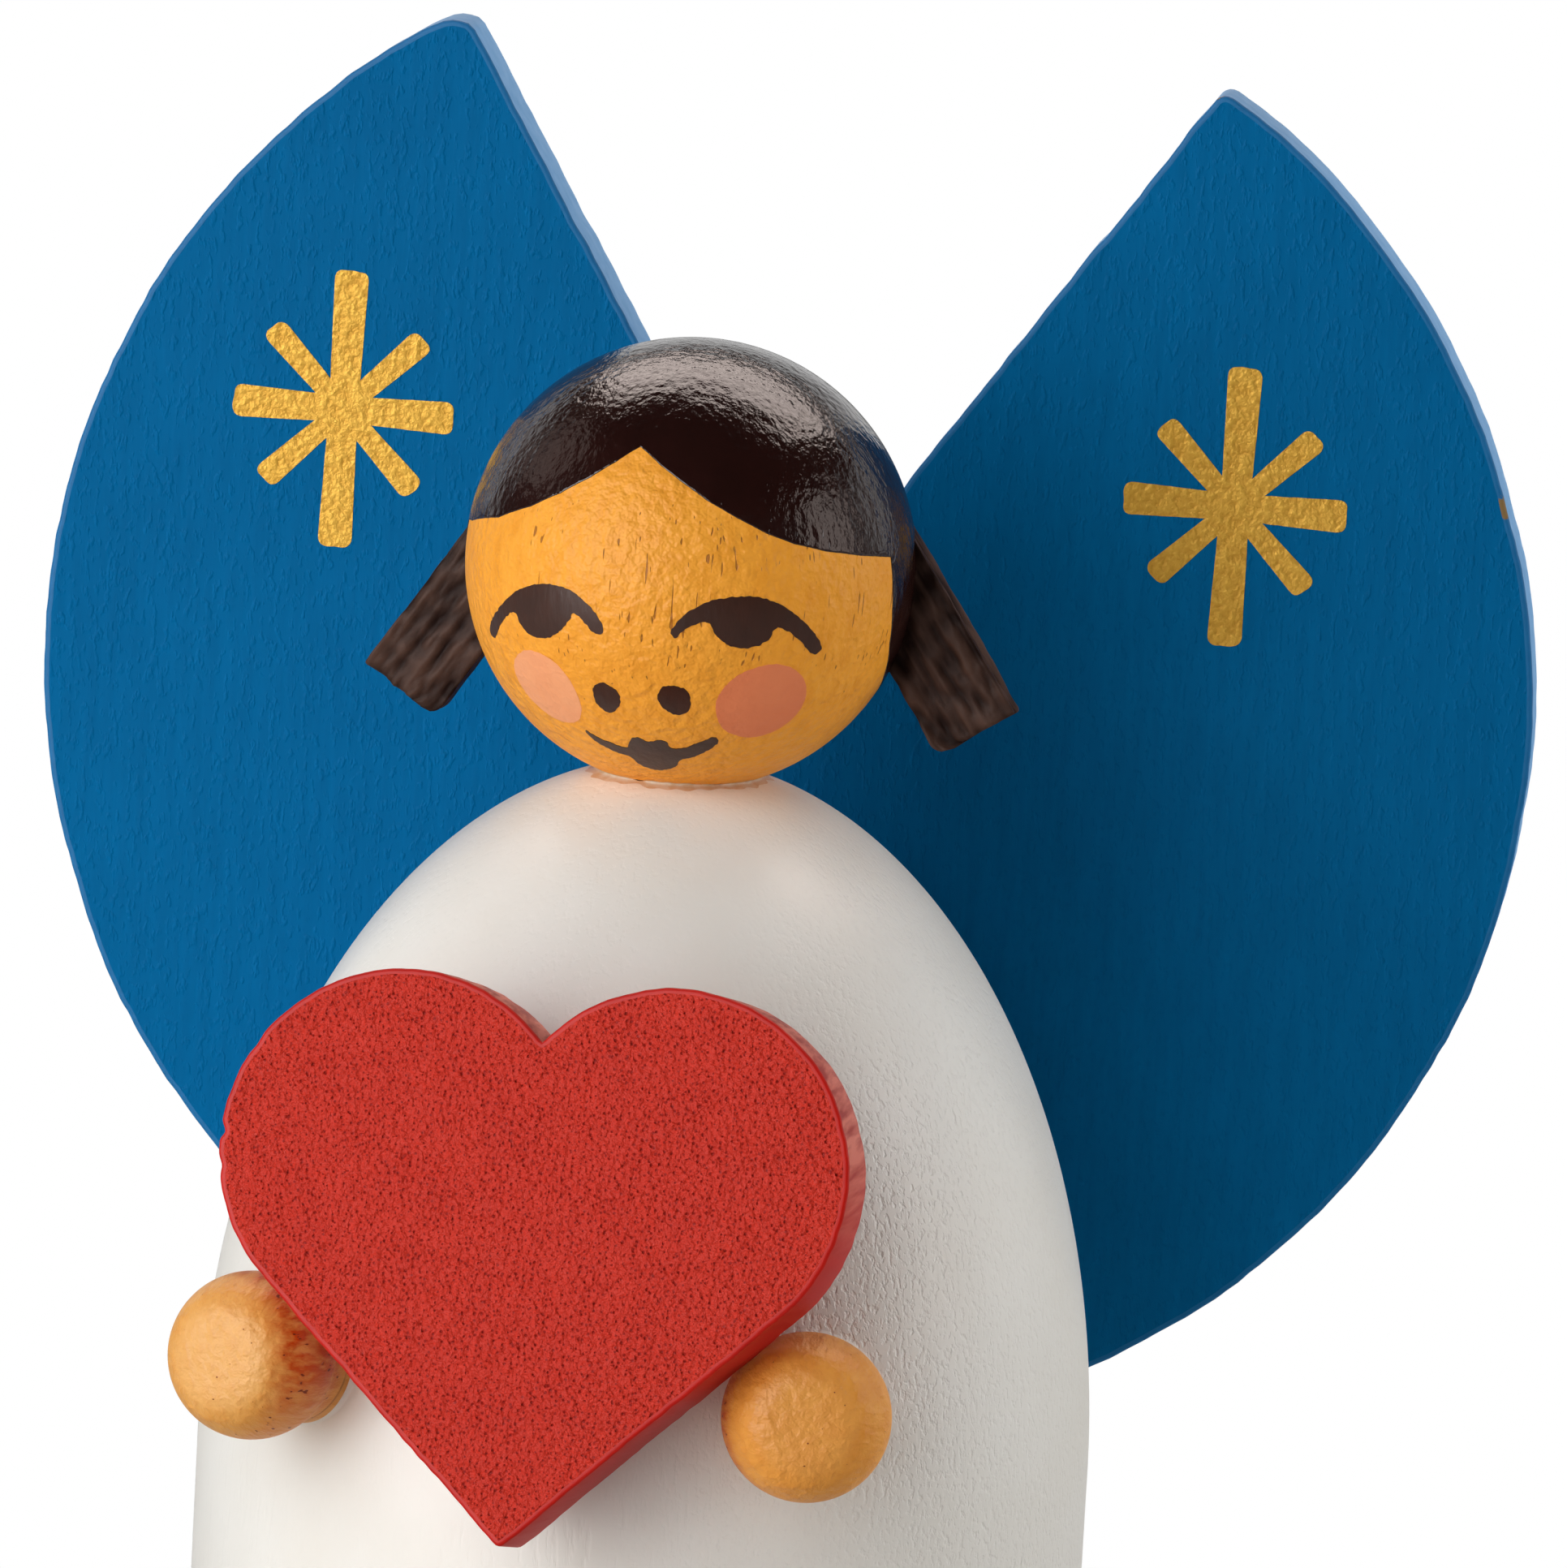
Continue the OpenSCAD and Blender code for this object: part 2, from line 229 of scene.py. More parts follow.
# Body: an egg-shaped skirt turned from one piece of wood, bored hollow from below and dipped in white paint.
# The grain runs upright and still shows through the satin paint as fine pores and a soft waviness.
wide_level = 21.5
body_radius = 12.0
dome_height = 18.75
hem_level = 6.5
hem_softening = 0.6
bore_radius = 9.0
hollow_height = 13.0
neck_radius = 2.2
wing_swing = math.radians(6.0)
wing_seat = 11.7
wing_radius = 20.8
wing_middle = 18.9
wing_aside = 1.3
smudge_size = 4.5
pore_width = 0.2
wave_width = 1.4
dent_size = 0.15
DOME_STEPS = 70
HOLLOW_STEPS = 24

neck_angle = math.acos(neck_radius / body_radius)
seat_level = wide_level + dome_height * math.sin(neck_angle)
inside = [(0, wide_level + hollow_height)]
for step in range(1, HOLLOW_STEPS + 1):
    angle = math.pi / 2 * (1 - step / HOLLOW_STEPS)
    inside.append((bore_radius * math.cos(angle), wide_level + hollow_height * math.sin(angle)))
above_hem = wide_level - 1
hem = softened([(bore_radius, above_hem), (bore_radius, hem_level), (body_radius, hem_level),
                (body_radius, above_hem)], hem_softening, 8)
skirt_shares = (0.1, 0.3, 0.5, 0.7, 0.9)
outside = [(body_radius, hem_level + (wide_level - hem_level) * share) for share in skirt_shares]
for step in range(DOME_STEPS + 1):
    angle = neck_angle * step / DOME_STEPS
    outside.append((body_radius * math.cos(angle), wide_level + dome_height * math.sin(angle)))
body_profile = inside + hem[1:-1] + outside + [(0, seat_level)]
body_points, body_faces = turned(body_profile, ROUND_STEPS)

# The wing disc lies against a small flat that is cut into the body's back.
to_seat = Matrix.Rotation(wing_swing, 4, "Z")
from_seat = to_seat.inverted()
for index, corner in enumerate(body_points):
    local = from_seat @ corner
    across = local.x - wing_aside
    upward = local.z - wide_level - wing_middle
    if local.y > wing_seat and math.hypot(across, upward) < wing_radius:
        local.y = wing_seat
        body_points[index] = to_seat @ local

# Satin paint gives a warm white with a soft, broad shine, and its skin shows the grain below as fine dents.
white, tree, shader, point = start_material("dipped_satin_white_paint", 0.38)
shader.inputs["Coat Weight"].default_value = 0.2
shader.inputs["Coat Roughness"].default_value = 0.3
upright = add(tree, "Mapping", {}, {"Vector": point, "Scale": (1.0, 1.0, 0.22)})
white_tone = clouded(tree, point, smudge_size, 3.0, "#F3F1EC", "#E9E4DA")[1]
pores = add(tree, "TexNoise", {}, {"Vector": upright.outputs[0], "Scale": 1 / pore_width, "Detail": 3.0})
pore_dents = add(tree, "MapRange", {}, {0: pores.outputs[0], 1: 0.52, 2: 0.68, 3: 1.0, 4: 0.0})
waviness = add(tree, "TexNoise", {}, {"Vector": upright.outputs[0], "Scale": 1 / wave_width, "Detail": 2.0})
# The paint's skin is rougher on the figure's left, where it ran thicker.
aside = add(tree, "SeparateXYZ", {}, {0: point})
thick_side = add(tree, "MapRange", {"interpolation_type": "SMOOTHSTEP"},
                 {0: aside.outputs["X"], 1: 1.0, 2: 8.0})
short = add(tree, "Mapping", {}, {"Vector": point, "Scale": (1.0, 1.0, 0.7)})
dents = add(tree, "TexNoise", {}, {"Vector": short.outputs[0], "Scale": 1 / dent_size, "Detail": 2.0})
dent_mask = add(tree, "MapRange", {}, {0: dents.outputs[0], 1: 0.5, 2: 0.72})
side_dents = add(tree, "Math", {"operation": "MULTIPLY"},
                 {0: dent_mask.outputs[0], 1: thick_side.outputs[0]})
soft_waves = add(tree, "Bump", {}, {"Strength": 0.2, "Distance": 0.12 * MM, "Height": waviness.outputs[0]})
pored = add(tree, "Bump", {}, {"Strength": 0.2, "Distance": 0.03 * MM, "Height": pore_dents.outputs[0],
                               "Normal": soft_waves.outputs[0]})
relief = add(tree, "Bump", {"invert": True}, {"Strength": 0.6, "Distance": 0.036 * MM,
                                              "Height": side_dents.outputs[0], "Normal": pored.outputs[0]})
finish_material(shader, white_tone, relief)
body = make_piece("turned_skirt", body_points, body_faces, [white], "figure")
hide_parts("skirt_body")

# Head: a bought ball of wood with upright grain, dyed and lacquered a warm tan, and glued on with a dowel.
# The lacquer is slightly lumpy, and thin upright cracks and pores stay open in it.
head_radius = 6.0
glue_gap = 0.05
blotch_size = 2.8
mottle_size = 0.4
lump_size = 0.28
crack_width = 0.08
crack_length = 1.4
crack_patch = 1.3
chin_below = (3.5, 1.5)
crown_above = (1.8, 3.2)
HEAD_STEPS = 110

head_middle = Vector((0, 0, seat_level + glue_gap + math.sqrt(head_radius ** 2 - neck_radius ** 2)))
head_profile = [(0, seat_level + glue_gap)]
lowest = -math.acos(neck_radius / head_radius)
for step in range(HEAD_STEPS):
    angle = lowest + (math.pi / 2 - lowest) * step / HEAD_STEPS
    head_profile.append((head_radius * math.cos(angle), head_middle.z + head_radius * math.sin(angle)))
head_profile.append((0, head_middle.z + head_radius))
head_points, head_faces = turned(head_profile, ROUND_STEPS)


def open_cracks(tree, point):
    """Adds short upright cracks in patches, most of them on the figure's left. Returns their mask."""
    stretched = add(tree, "Mapping", {}, {"Vector": point, "Scale": (1.0, 1.0, crack_width / crack_length)})
    slits = add(tree, "TexNoise", {},
                {"Vector": stretched.outputs[0], "Scale": 1 / crack_width, "Detail": 0.0})
    patches = add(tree, "TexNoise", {}, {"Vector": point, "Scale": 1 / crack_patch, "Detail": 1.0})
    spare = add(tree, "MapRange", {}, {0: patches.outputs[0], 1: 0.4, 2: 0.6, 3: 0.1, 4: 0.0})
    axes = add(tree, "SeparateXYZ", {}, {0: point})
    need = add(tree, "MapRange", {}, {0: axes.outputs["X"], 1: -5.0, 2: 1.0, 3: 0.77, 4: 0.69})
    chin = add(tree, "MapRange", {}, {0: axes.outputs["Z"], 1: head_middle.z - chin_below[0],
                                      2: head_middle.z - chin_below[1], 3: 0.2, 4: 0.0})
    top = add(tree, "MapRange", {}, {0: axes.outputs["Z"], 1: head_middle.z + crown_above[0],
                                     2: head_middle.z + crown_above[1], 3: 0.0, 4: 0.2})
    ends = add(tree, "Math", {"operation": "ADD"}, {0: top.outputs[0], 1: chin.outputs[0]})
    sound = add(tree, "Math", {"operation": "ADD"}, {0: spare.outputs[0], 1: ends.outputs[0]})
    limit = add(tree, "Math", {"operation": "ADD"}, {0: need.outputs[0], 1: sound.outputs[0]})
    over = add(tree, "Math", {"operation": "SUBTRACT"}, {0: slits.outputs[0], 1: limit.outputs[0]})
    return add(tree, "MapRange", {}, {0: over.outputs[0], 1: 0.0, 2: 0.05, 4: 0.8}).outputs[0]


# Lacquer over dyed wood is warm and mottled, with a low broken shine and dark open cracks.
tan, tree, shader, point = start_material("tan_lacquered_wood", 0.42, 0.15)
dye = clouded(tree, point, blotch_size, 3.0, "#FCAC3C", "#F4A032")[1]
upright = add(tree, "Mapping", {}, {"Vector": point, "Scale": (1.0, 1.0, 0.5)})
mottle = add(tree, "TexNoise", {}, {"Vector": upright.outputs[0], "Scale": 1 / mottle_size, "Detail": 4.0})
deeper = add(tree, "MapRange", {}, {0: mottle.outputs[0], 1: 0.45, 2: 0.75, 3: 0.0, 4: 0.6})
mottled = add(tree, "Mix", {"data_type": "RGBA"}, {0: deeper.outputs[0], 6: dye, 7: linear("#E69124")})
cracks = open_cracks(tree, point)
cracked = add(tree, "Mix", {"data_type": "RGBA"}, {0: cracks, 6: mottled.outputs[2], 7: linear("#94541A")})
lumps = add(tree, "TexNoise", {}, {"Vector": point, "Scale": 1 / lump_size, "Detail": 2.0})
lumpy = add(tree, "Bump", {}, {"Strength": 1.0, "Distance": 0.11 * MM, "Height": lumps.outputs[0]})
relief = add(tree, "Bump", {"invert": True}, {"Strength": 0.7, "Distance": 0.06 * MM,
                                              "Height": cracks, "Normal": lumpy.outputs[0]})
finish_material(shader, cracked.outputs[2], relief)
head = make_piece("ball_head", head_points, head_faces, [tan], "figure")
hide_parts("head")

# Glue at the neck: a thin bead of white wood glue that came out of the joint and dried with a ragged edge.
# It is milky and takes a little of the dye of the ball.
bead_height = 0.07
bead_ragged = 0.9
bead_drops = 6
bead_bulge = 0.03
bead_lift = 0.004
BEAD_STEPS = 240
BEAD_ROWS = 6

bead_points = []
for step in range(BEAD_STEPS):
    heading = math.tau * step / BEAD_STEPS
    ragged = noise.noise(Vector((math.cos(heading) * bead_drops, math.sin(heading) * bead_drops, 4.0)))
    reach = bead_height * (1.0 + bead_ragged * ragged)
    for row in range(BEAD_ROWS):
        share = row / (BEAD_ROWS - 1)
        upward = seat_level + (2 * share - 1) * reach
        on_head = math.sqrt(head_radius ** 2 - (max(upward, seat_level + glue_gap) - head_middle.z) ** 2)
        low = (min(upward, seat_level) - wide_level) / dome_height
        on_body = body_radius * math.sqrt(1 - low ** 2)
        bulge = bead_bulge * math.sin(math.pi * share)
        radius = (on_head if share > 0.5 else on_body) + bulge + bead_lift
        bead_points.append(Vector((radius * math.cos(heading), radius * math.sin(heading), upward)))
bead_faces = skin([range(row, len(bead_points), BEAD_ROWS) for row in range(BEAD_ROWS)])

# Dried glue is milky and half shiny, with stains of tan.
glue, tree, shader, point = start_material("dried_wood_glue", 0.3)
stain = add(tree, "TexNoise", {}, {"Vector": point, "Scale": 1 / lump_size, "Detail": 3.0})
stain_mask = add(tree, "MapRange", {}, {0: stain.outputs[0], 1: 0.42, 2: 0.62})
glue_tone = add(tree, "Mix", {"data_type": "RGBA"},
                {0: stain_mask.outputs[0], 6: linear("#DCC6AE"), 7: linear("#D2B08A")})
relief = add(tree, "Bump", {}, {"Strength": 0.2, "Distance": 0.04 * MM, "Height": stain.outputs[0]})
finish_material(shader, glue_tone.outputs[2], relief)
make_piece("neck_glue", bead_points, bead_faces, [glue], "figure")

# Hair: dark-brown paint brushed thickly over the top, sides and back of the ball, with a parting in front.
# It dries to a hard gloss over the lumpy wood, so its highlights break up, and the cracks run on through it.
# The hairline is given in degrees round and up from the head's middle, and so is the crown.
hair_thickness = 0.02
hair_rim = 0.03
hair_sink = 0.01
brush_rough = 0.012
brush_hair = 0.1
brush_size = 1.1
ripple_size = 0.22
swell_size = 1.2
HAIR_RINGS = 64
HAIR_STEP = 0.012
RING_BUNCHING = 1.6
crown = (180.0, 52.0)
hairline = [
    (-5.2, 37.8), (-3.0, 36.6), (2.5, 33.0), (9.1, 29.0), (16.8, 24.3), (24.8, 20.2), (32.7, 16.4),
    (40.1, 13.8), (49.8, 11.6), (62.0, 9.8), (75.0, 8.3), (75.7, 2.3), (76.9, -5.3), (80.3, -14.9),
    (88.6, -25.1), (103.0, -34.0), (125.0, -40.0), (152.0, -43.0), (180.0, -44.0), (-152.0, -43.0),
    (-125.0, -40.0), (-103.0, -34.0), (-88.6, -25.1), (-81.0, -14.9), (-78.2, -5.3), (-77.0, 2.3),
    (-76.0, 8.3), (-67.5, 9.3), (-48.1, 13.1), (-35.3, 17.9), (-26.3, 22.6), (-18.2, 27.8), (-11.4, 33.0),
    (-7.7, 36.1)]


def on_ball(yaw, pitch, radius):
    """Point at a distance from the head's middle, by degrees round from the front and up from the level."""
    round_from_front = math.radians(yaw)
    upward = math.radians(pitch)
    return Vector((radius * math.sin(round_from_front) * math.cos(upward),
                   -radius * math.cos(round_from_front) * math.cos(upward),
                   radius * math.sin(upward)))


def divided(outline, length):
    """Divides a closed outline's straight stretches into steps of about the given length."""
    fine = []
    for start, end in zip(outline, outline[1:] + outline[:1]):
        start = Vector(start)
        end = Vector(end)
        count = max(1, round((end - start).length / length))
        for step in range(count):
            fine.append(start.lerp(end, step / count))
    return fine


crown_point = on_ball(crown[0], crown[1], 1.0)
rim_points = []
for corner in divided([on_ball(yaw, pitch, 1.0) for yaw, pitch in hairline], HAIR_STEP):
    rough = noise.noise(corner * head_radius / brush_hair) * brush_rough / head_radius
    rim_points.append((corner + (corner - crown_point).normalized() * rough).normalized())
hair_points = [head_middle + crown_point * (head_radius + hair_thickness)]
for ring in range(1, HAIR_RINGS + 1):
    share = 1 - (1 - ring / HAIR_RINGS) ** RING_BUNCHING
    for rim_point in rim_points:
        away = crown_point.angle(rim_point)
        direction = crown_point.slerp(rim_point, share)
        edge = min(1.0, away * (1 - share) * head_radius / hair_rim)
        height = hair_thickness * math.sqrt(1 - (1 - edge) ** 2) - hair_sink * (1 - edge)
        hair_points.append(head_middle + direction * (head_radius + height))
rim_count = len(rim_points)
hair_rings = [[0] * rim_count]
for ring in range(HAIR_RINGS):
    hair_rings.append(range(1 + ring * rim_count, 1 + (ring + 1) * rim_count))
hair_faces = skin(hair_rings[::-1])

# Thick gloss paint is nearly black, with hard bright reflections that the ripples break up.
gloss_brown, tree, shader, point = start_material("brushed_gloss_brown_paint", 0.13)
hair_tone = clouded(tree, point, brush_size, 3.0, "#2A1310", "#1B0C0A")[1]
upright = add(tree, "Mapping", {}, {"Vector": point, "Scale": (1.0, 1.0, 0.6)})
ripples = add(tree, "TexNoise", {}, {"Vector": upright.outputs[0], "Scale": 1 / ripple_size, "Detail": 3.0})
swells = add(tree, "TexNoise", {}, {"Vector": point, "Scale": 1 / swell_size, "Detail": 1.0})
swelling = add(tree, "Bump", {}, {"Strength": 0.3, "Distance": 0.12 * MM, "Height": swells.outputs[0]})
rippled = add(tree, "Bump", {}, {"Strength": 0.6, "Distance": 0.07 * MM, "Height": ripples.outputs[0],
                                 "Normal": swelling.outputs[0]})
cracks = open_cracks(tree, point)
relief = add(tree, "Bump", {"invert": True}, {"Strength": 0.7, "Distance": 0.06 * MM,
                                              "Height": cracks, "Normal": rippled.outputs[0]})
finish_material(shader, hair_tone, relief)
make_piece("painted_hair", hair_points, hair_faces, [gloss_brown], "figure")

# Face: eyes, nose dots and mouth drawn with a fine brush in the brown paint, and two dabbed salmon cheeks.
# Each is a thin layer on the ball, and its outline is given in degrees round and up from the head's middle.
# On the face, left and right are the viewer's.
paint_height = 0.012
cheek_height = 0.006
paint_sink = 0.01
brush_jitter = 0.35
dab_jitter = 0.2
jitter_pitch = 0.9
stroke_size = 0.4
dab_size = 1.2
FACE_GRID = 1.6
left_eye = [
    (-51.2, -17.6), (-50.6, -15.0), (-44.9, -10.0), (-37.3, -4.5), (-28.8, -0.9), (-20.9, -0.5),
    (-14.8, -2.8), (-10.7, -6.4), (-8.8, -9.8), (-10.0, -11.4), (-12.2, -10.6), (-15.2, -7.7), (-17.3, -7.0),
    (-19.1, -9.5), (-23.0, -13.1), (-27.6, -14.8), (-32.2, -14.5), (-35.3, -12.1), (-36.8, -9.7),
    (-39.6, -10.1), (-44.4, -13.7), (-48.9, -17.8)]
right_eye = [
    (9.2, -10.0), (9.0, -8.4), (11.8, -4.7), (16.0, -1.7), (21.0, 0.2), (28.3, 0.8), (34.5, -0.4),
    (41.2, -4.0), (47.4, -9.1), (50.1, -12.9), (49.2, -14.4), (46.6, -13.9), (41.9, -9.8), (37.5, -7.3),
    (35.5, -7.6), (34.2, -10.1), (31.0, -12.0), (27.2, -12.6), (23.3, -11.7), (20.1, -9.1), (18.5, -6.5),
    (16.6, -6.0), (12.7, -8.0), (10.3, -10.3)]
left_nose = [(-9.6, -25.0), (-6.6, -26.6), (-5.4, -29.4), (-7.4, -33.2), (-10.6, -34.0), (-13.4, -31.6),
             (-13.6, -27.6), (-12.0, -25.4)]
right_nose = [(9.4, -24.0), (13.0, -24.6), (14.8, -27.0), (14.6, -31.4), (11.6, -33.0), (7.6, -31.4),
              (5.6, -27.8), (6.8, -24.8)]
mouth = [
    (-21.4, -42.4), (-17.4, -44.7), (-11.2, -46.6), (-7.4, -47.2), (-4.6, -43.4), (-1.8, -42.5),
    (1.1, -43.8), (5.3, -42.9), (7.8, -43.1), (9.7, -46.0), (13.9, -45.5), (19.7, -42.5), (23.7, -40.5),
    (25.6, -42.3), (24.2, -44.8), (18.6, -49.0), (13.1, -51.2), (11.0, -54.8), (5.2, -57.5), (-0.3, -57.4),
    (-5.0, -55.2), (-7.6, -51.6), (-12.9, -50.1), (-18.8, -47.0), (-21.6, -43.8)]
left_cheek = [(-41.0, -22.6), (-34.0, -19.0), (-25.4, -20.6), (-20.2, -26.9), (-19.6, -34.6), (-24.6, -39.8),
              (-34.0, -39.8), (-41.6, -34.4), (-43.6, -27.8)]
right_cheek = [(22.4, -30.0), (23.9, -23.9), (28.8, -19.2), (36.6, -17.0), (43.9, -19.0), (48.8, -24.3),
               (49.7, -31.2), (45.4, -37.5), (36.3, -40.6), (26.3, -37.4)]


def rounded(outline, steps=10):
    """Draws a smooth closed curve through the given points."""
    count = len(outline)
    curve = []
    for index in range(count):
        before, start, end, after = (Vector(outline[(index + shift) % count]) for shift in (-1, 0, 1, 2))
        for step in range(steps):
            share = step / steps
            curve.append(0.5 * (2 * start + (end - before) * share
                                + (2 * before - 5 * start + 4 * end - after) * share * share
                                + (3 * start - before - 3 * end + after) * share ** 3))
    return curve


def encloses(outline, spot):
    """Whether a closed outline goes round a spot."""
    odd = False
    for start, end in zip(outline, outline[1:] + outline[:1]):
        if (start.y > spot.y) != (end.y > spot.y):
            if spot.x < start.x + (spot.y - start.y) / (end.y - start.y) * (end.x - start.x):
                odd = not odd
    return odd


def filled(outline, grid):
    """Fills a closed outline with triangles on a grid. Returns the added spots and the triangles."""
    low_x = min(corner.x for corner in outline)
    low_y = min(corner.y for corner in outline)
    columns = int((max(corner.x for corner in outline) - low_x) / grid) + 1
    rows = int((max(corner.y for corner in outline) - low_y) / grid) + 1
    clear_of_edge = grid * 0.35
    spots = []
    for column in range(columns):
        for row in range(rows):
            spot = Vector((low_x + (column + 0.5 + 0.25 * (row % 2)) * grid, low_y + (row + 0.5) * grid))
            near = min((spot - corner).length for corner in outline)
            if near > clear_of_edge and encloses(outline, spot):
                spots.append(spot)
    count = len(outline)
    borders = [(index, (index + 1) % count) for index in range(count)]
    done = geometry.delaunay_2d_cdt(list(outline) + spots, borders, [], 1, 1e-6)
    source = [origins[0] for origins in done[3]]
    triangles = [tuple(source[index] for index in face) for face in done[2]]
    return spots, triangles


def paint_layer(name, outline, grid, place, height, material):
    """Lays a thin layer of paint inside an outline. Its edge steps down into the wood that carries it."""
    spots, triangles = filled(outline, grid)
    points = [place(spot, height) for spot in outline + spots]
    foot = len(points)
    points += [place(spot, -paint_sink) for spot in outline]
    faces = list(triangles)
    count = len(outline)
    borders = set()
    for step in range(count):
        after = (step + 1) % count
        faces.append((foot + step, foot + after, after, step))
        borders.add(frozenset((step, after)))
    layer = make_piece(name, points, faces, [material], "figure")
    for edge in layer.data.edges:
        edge.use_edge_sharp = frozenset(edge.vertices) in borders


def on_face(spot, height):
    """Point over the head's surface, by degrees round and up."""
    return head_middle + on_ball(spot.x, spot.y, head_radius + height)


def brushed(outline, rough):
    """Draws a closed curve through the given points with a slightly ragged line."""
    curve = []
    for spot in rounded(outline):
        across = Vector((spot.x, spot.y, 0.0)) * jitter_pitch
        upward = across + Vector((0.0, 0.0, 7.3))
        curve.append(spot + Vector((noise.noise(across), noise.noise(upward))) * rough)
    return curve


# Thin brown paint is half matte and takes on the lumps of the wood.
thin_brown, tree, shader, point = start_material("fine_brushed_brown_paint", 0.34, 0.45)
stroke_tone = clouded(tree, point, stroke_size, 4.0, "#401E10", "#2C1409")[1]
upright = add(tree, "Mapping", {}, {"Vector": point, "Scale": (1.0, 1.0, 0.35)})
lumps = add(tree, "TexNoise", {}, {"Vector": upright.outputs[0], "Scale": 1 / lump_size, "Detail": 3.0})
relief = add(tree, "Bump", {}, {"Strength": 0.4, "Distance": 0.06 * MM, "Height": lumps.outputs[0]})
finish_material(shader, stroke_tone, relief)
for name, outline in (("left_eye", left_eye), ("right_eye", right_eye), ("left_nose", left_nose),
                      ("right_nose", right_nose), ("mouth", mouth)):
    paint_layer(name + "_paint", brushed(outline, brush_jitter), FACE_GRID, on_face, paint_height,
                thin_brown)

# Dabbed salmon paint is soft and matte and a little deeper in places. The cheek on the figure's right, on
# the lit side, is painted paler as painted light, and the other cheek deeper and redder as painted shade.
for name, outline, pale_dab, deep_dab in (("left_cheek", left_cheek, "#F8AE7C", "#EE9A6A"),
                                          ("right_cheek", right_cheek, "#F09062", "#E27A50")):
    salmon, tree, shader, point = start_material("dabbed_salmon_" + name, 0.42, 0.15)
    salmon_tone = clouded(tree, point, dab_size, 3.0, pale_dab, deep_dab)[1]
    lumps = add(tree, "TexNoise", {}, {"Vector": point, "Scale": 1 / lump_size, "Detail": 2.0})
    relief = add(tree, "Bump", {}, {"Strength": 0.6, "Distance": 0.07 * MM, "Height": lumps.outputs[0]})
    finish_material(shader, salmon_tone, relief)
    paint_layer(name + "_paint", brushed(outline, dab_jitter), FACE_GRID, on_face, cheek_height,
                salmon)

# Pigtails: two flat splints, split and not sawn, so long fibres and torn grooves run down them.
# They are painted dark brown and glued into slots in the sides of the head. One came out shorter.
pigtail_width = 2.4
pigtail_thickness = 0.9
longest_pigtail = 3.9
shortest_pigtail = 3.65
pigtail_root = 2.0
pigtail_lean = 34.0
pigtail_back = 1.1
pigtail_low = 1.0
inner_rounding = 0.4
groove_depth = 0.1
groove_width = 0.27
groove_length = 1.7
groove_bias = 0.5
tear_size = 0.55
tear_share = 0.7
ragged_end = 0.06
ragged_size = 0.4
end_sink = 0.05
LENGTH_STEPS = 90
WIDTH_STEPS = 34
THICK_STEPS = 10

# Painted split wood is dull. Its tone follows the depth of the grain: the ridges are painted paler as
# painted highlight, and the grooves nearly black as painted shade.
split_brown, tree, shader, point = start_material("brown_paint_on_split_wood", 0.5, 0.08)
groove_shade = add(tree, "Attribute", {"attribute_name": "groove_shade"}, {})
ridge_highlight = add(tree, "MapRange", {}, {0: groove_shade.outputs["Fac"], 1: -1.2, 2: 0.2})
split_shade_and_highlight = add(tree, "Mix", {"data_type": "RGBA"},
                 {0: ridge_highlight.outputs[0], 6: linear("#1C0C07"), 7: linear("#503A31")})
fuzz = add(tree, "TexNoise", {}, {"Vector": point, "Scale": 1 / pore_width, "Detail": 3.0})
relief = add(tree, "Bump", {}, {"Strength": 0.5, "Distance": 0.04 * MM, "Height": fuzz.outputs[0]})
finish_material(shader, split_shade_and_highlight.outputs[2], relief)

leave_x = math.sqrt(head_radius ** 2 - pigtail_back ** 2 - pigtail_low ** 2)
half_width = pigtail_width / 2
half_thick = pigtail_thickness / 2
section = [(half_width * (2 * step / WIDTH_STEPS - 1), -half_thick) for step in range(WIDTH_STEPS)]
section += [(half_width, half_thick * (2 * step / THICK_STEPS - 1)) for step in range(THICK_STEPS)]
section += [(-across, -thick) for across, thick in section]
around = len(section)
for side, node, pigtail_length in ((1, "pigtail_left", shortest_pigtail),
                                   (-1, "pigtail_right", longest_pigtail)):
    place = Matrix.Translation((side * leave_x, pigtail_back, head_middle.z - pigtail_low))
    place = place @ Matrix.Rotation(side * math.radians(180 - pigtail_lean), 4, "Y")
    splint_points = []
    grooves = []
    for row in range(LENGTH_STEPS + 1):
        along = -pigtail_root + (pigtail_length + pigtail_root) * row / LENGTH_STEPS
        past = max(0.0, along - pigtail_length + inner_rounding) / inner_rounding
        cut = inner_rounding * (1 - math.sqrt(max(0.0, 1 - past ** 2)))
        blunt = end_sink if row == LENGTH_STEPS else 0.0
        for across, thick in section:
            grain = Vector((across / groove_width + 20 * side, thick / groove_width, along / groove_length))
            torn = Vector((across / tear_size, thick / tear_size + 7 * side, along / tear_size))
            fibres = noise.fractal(grain, 0.9, 2.1, 4) - groove_bias
            grooves.append(fibres + tear_share * noise.noise(torn))
            depth = groove_depth * grooves[-1] - blunt
            outward = Vector((across / half_width ** 3, thick / half_thick ** 3)).normalized()
            inner_cut = cut if across * side > 0 else 0.0
            narrowed = across * (1 - inner_cut / half_width)
            frayed = noise.noise(Vector((across / ragged_size, thick / ragged_size, side)))
            ragged = ragged_end * frayed * max(0.0, along) / pigtail_length
            splint_points.append(place @ Vector((narrowed + outward.x * depth, thick + outward.y * depth,
                                                 along + ragged)))
    splint_rings = [range(row * around, (row + 1) * around) for row in range(LENGTH_STEPS + 1)]
    hubs = []
    for ring in (splint_rings[0], splint_rings[-1]):
        hubs.append([len(splint_points)] * around)
        splint_points.append(sum((splint_points[index] for index in ring), Vector()) / around)
        grooves.append(-1.0)
    splint_faces = skin([hubs[0]] + splint_rings + [hubs[1]])
    splint = make_piece("split_" + node, splint_points, splint_faces, [split_brown], "figure")
    splint.data.attributes.new("groove_shade", "FLOAT", "POINT").data.foreach_set("value", grooves)
    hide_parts(node)

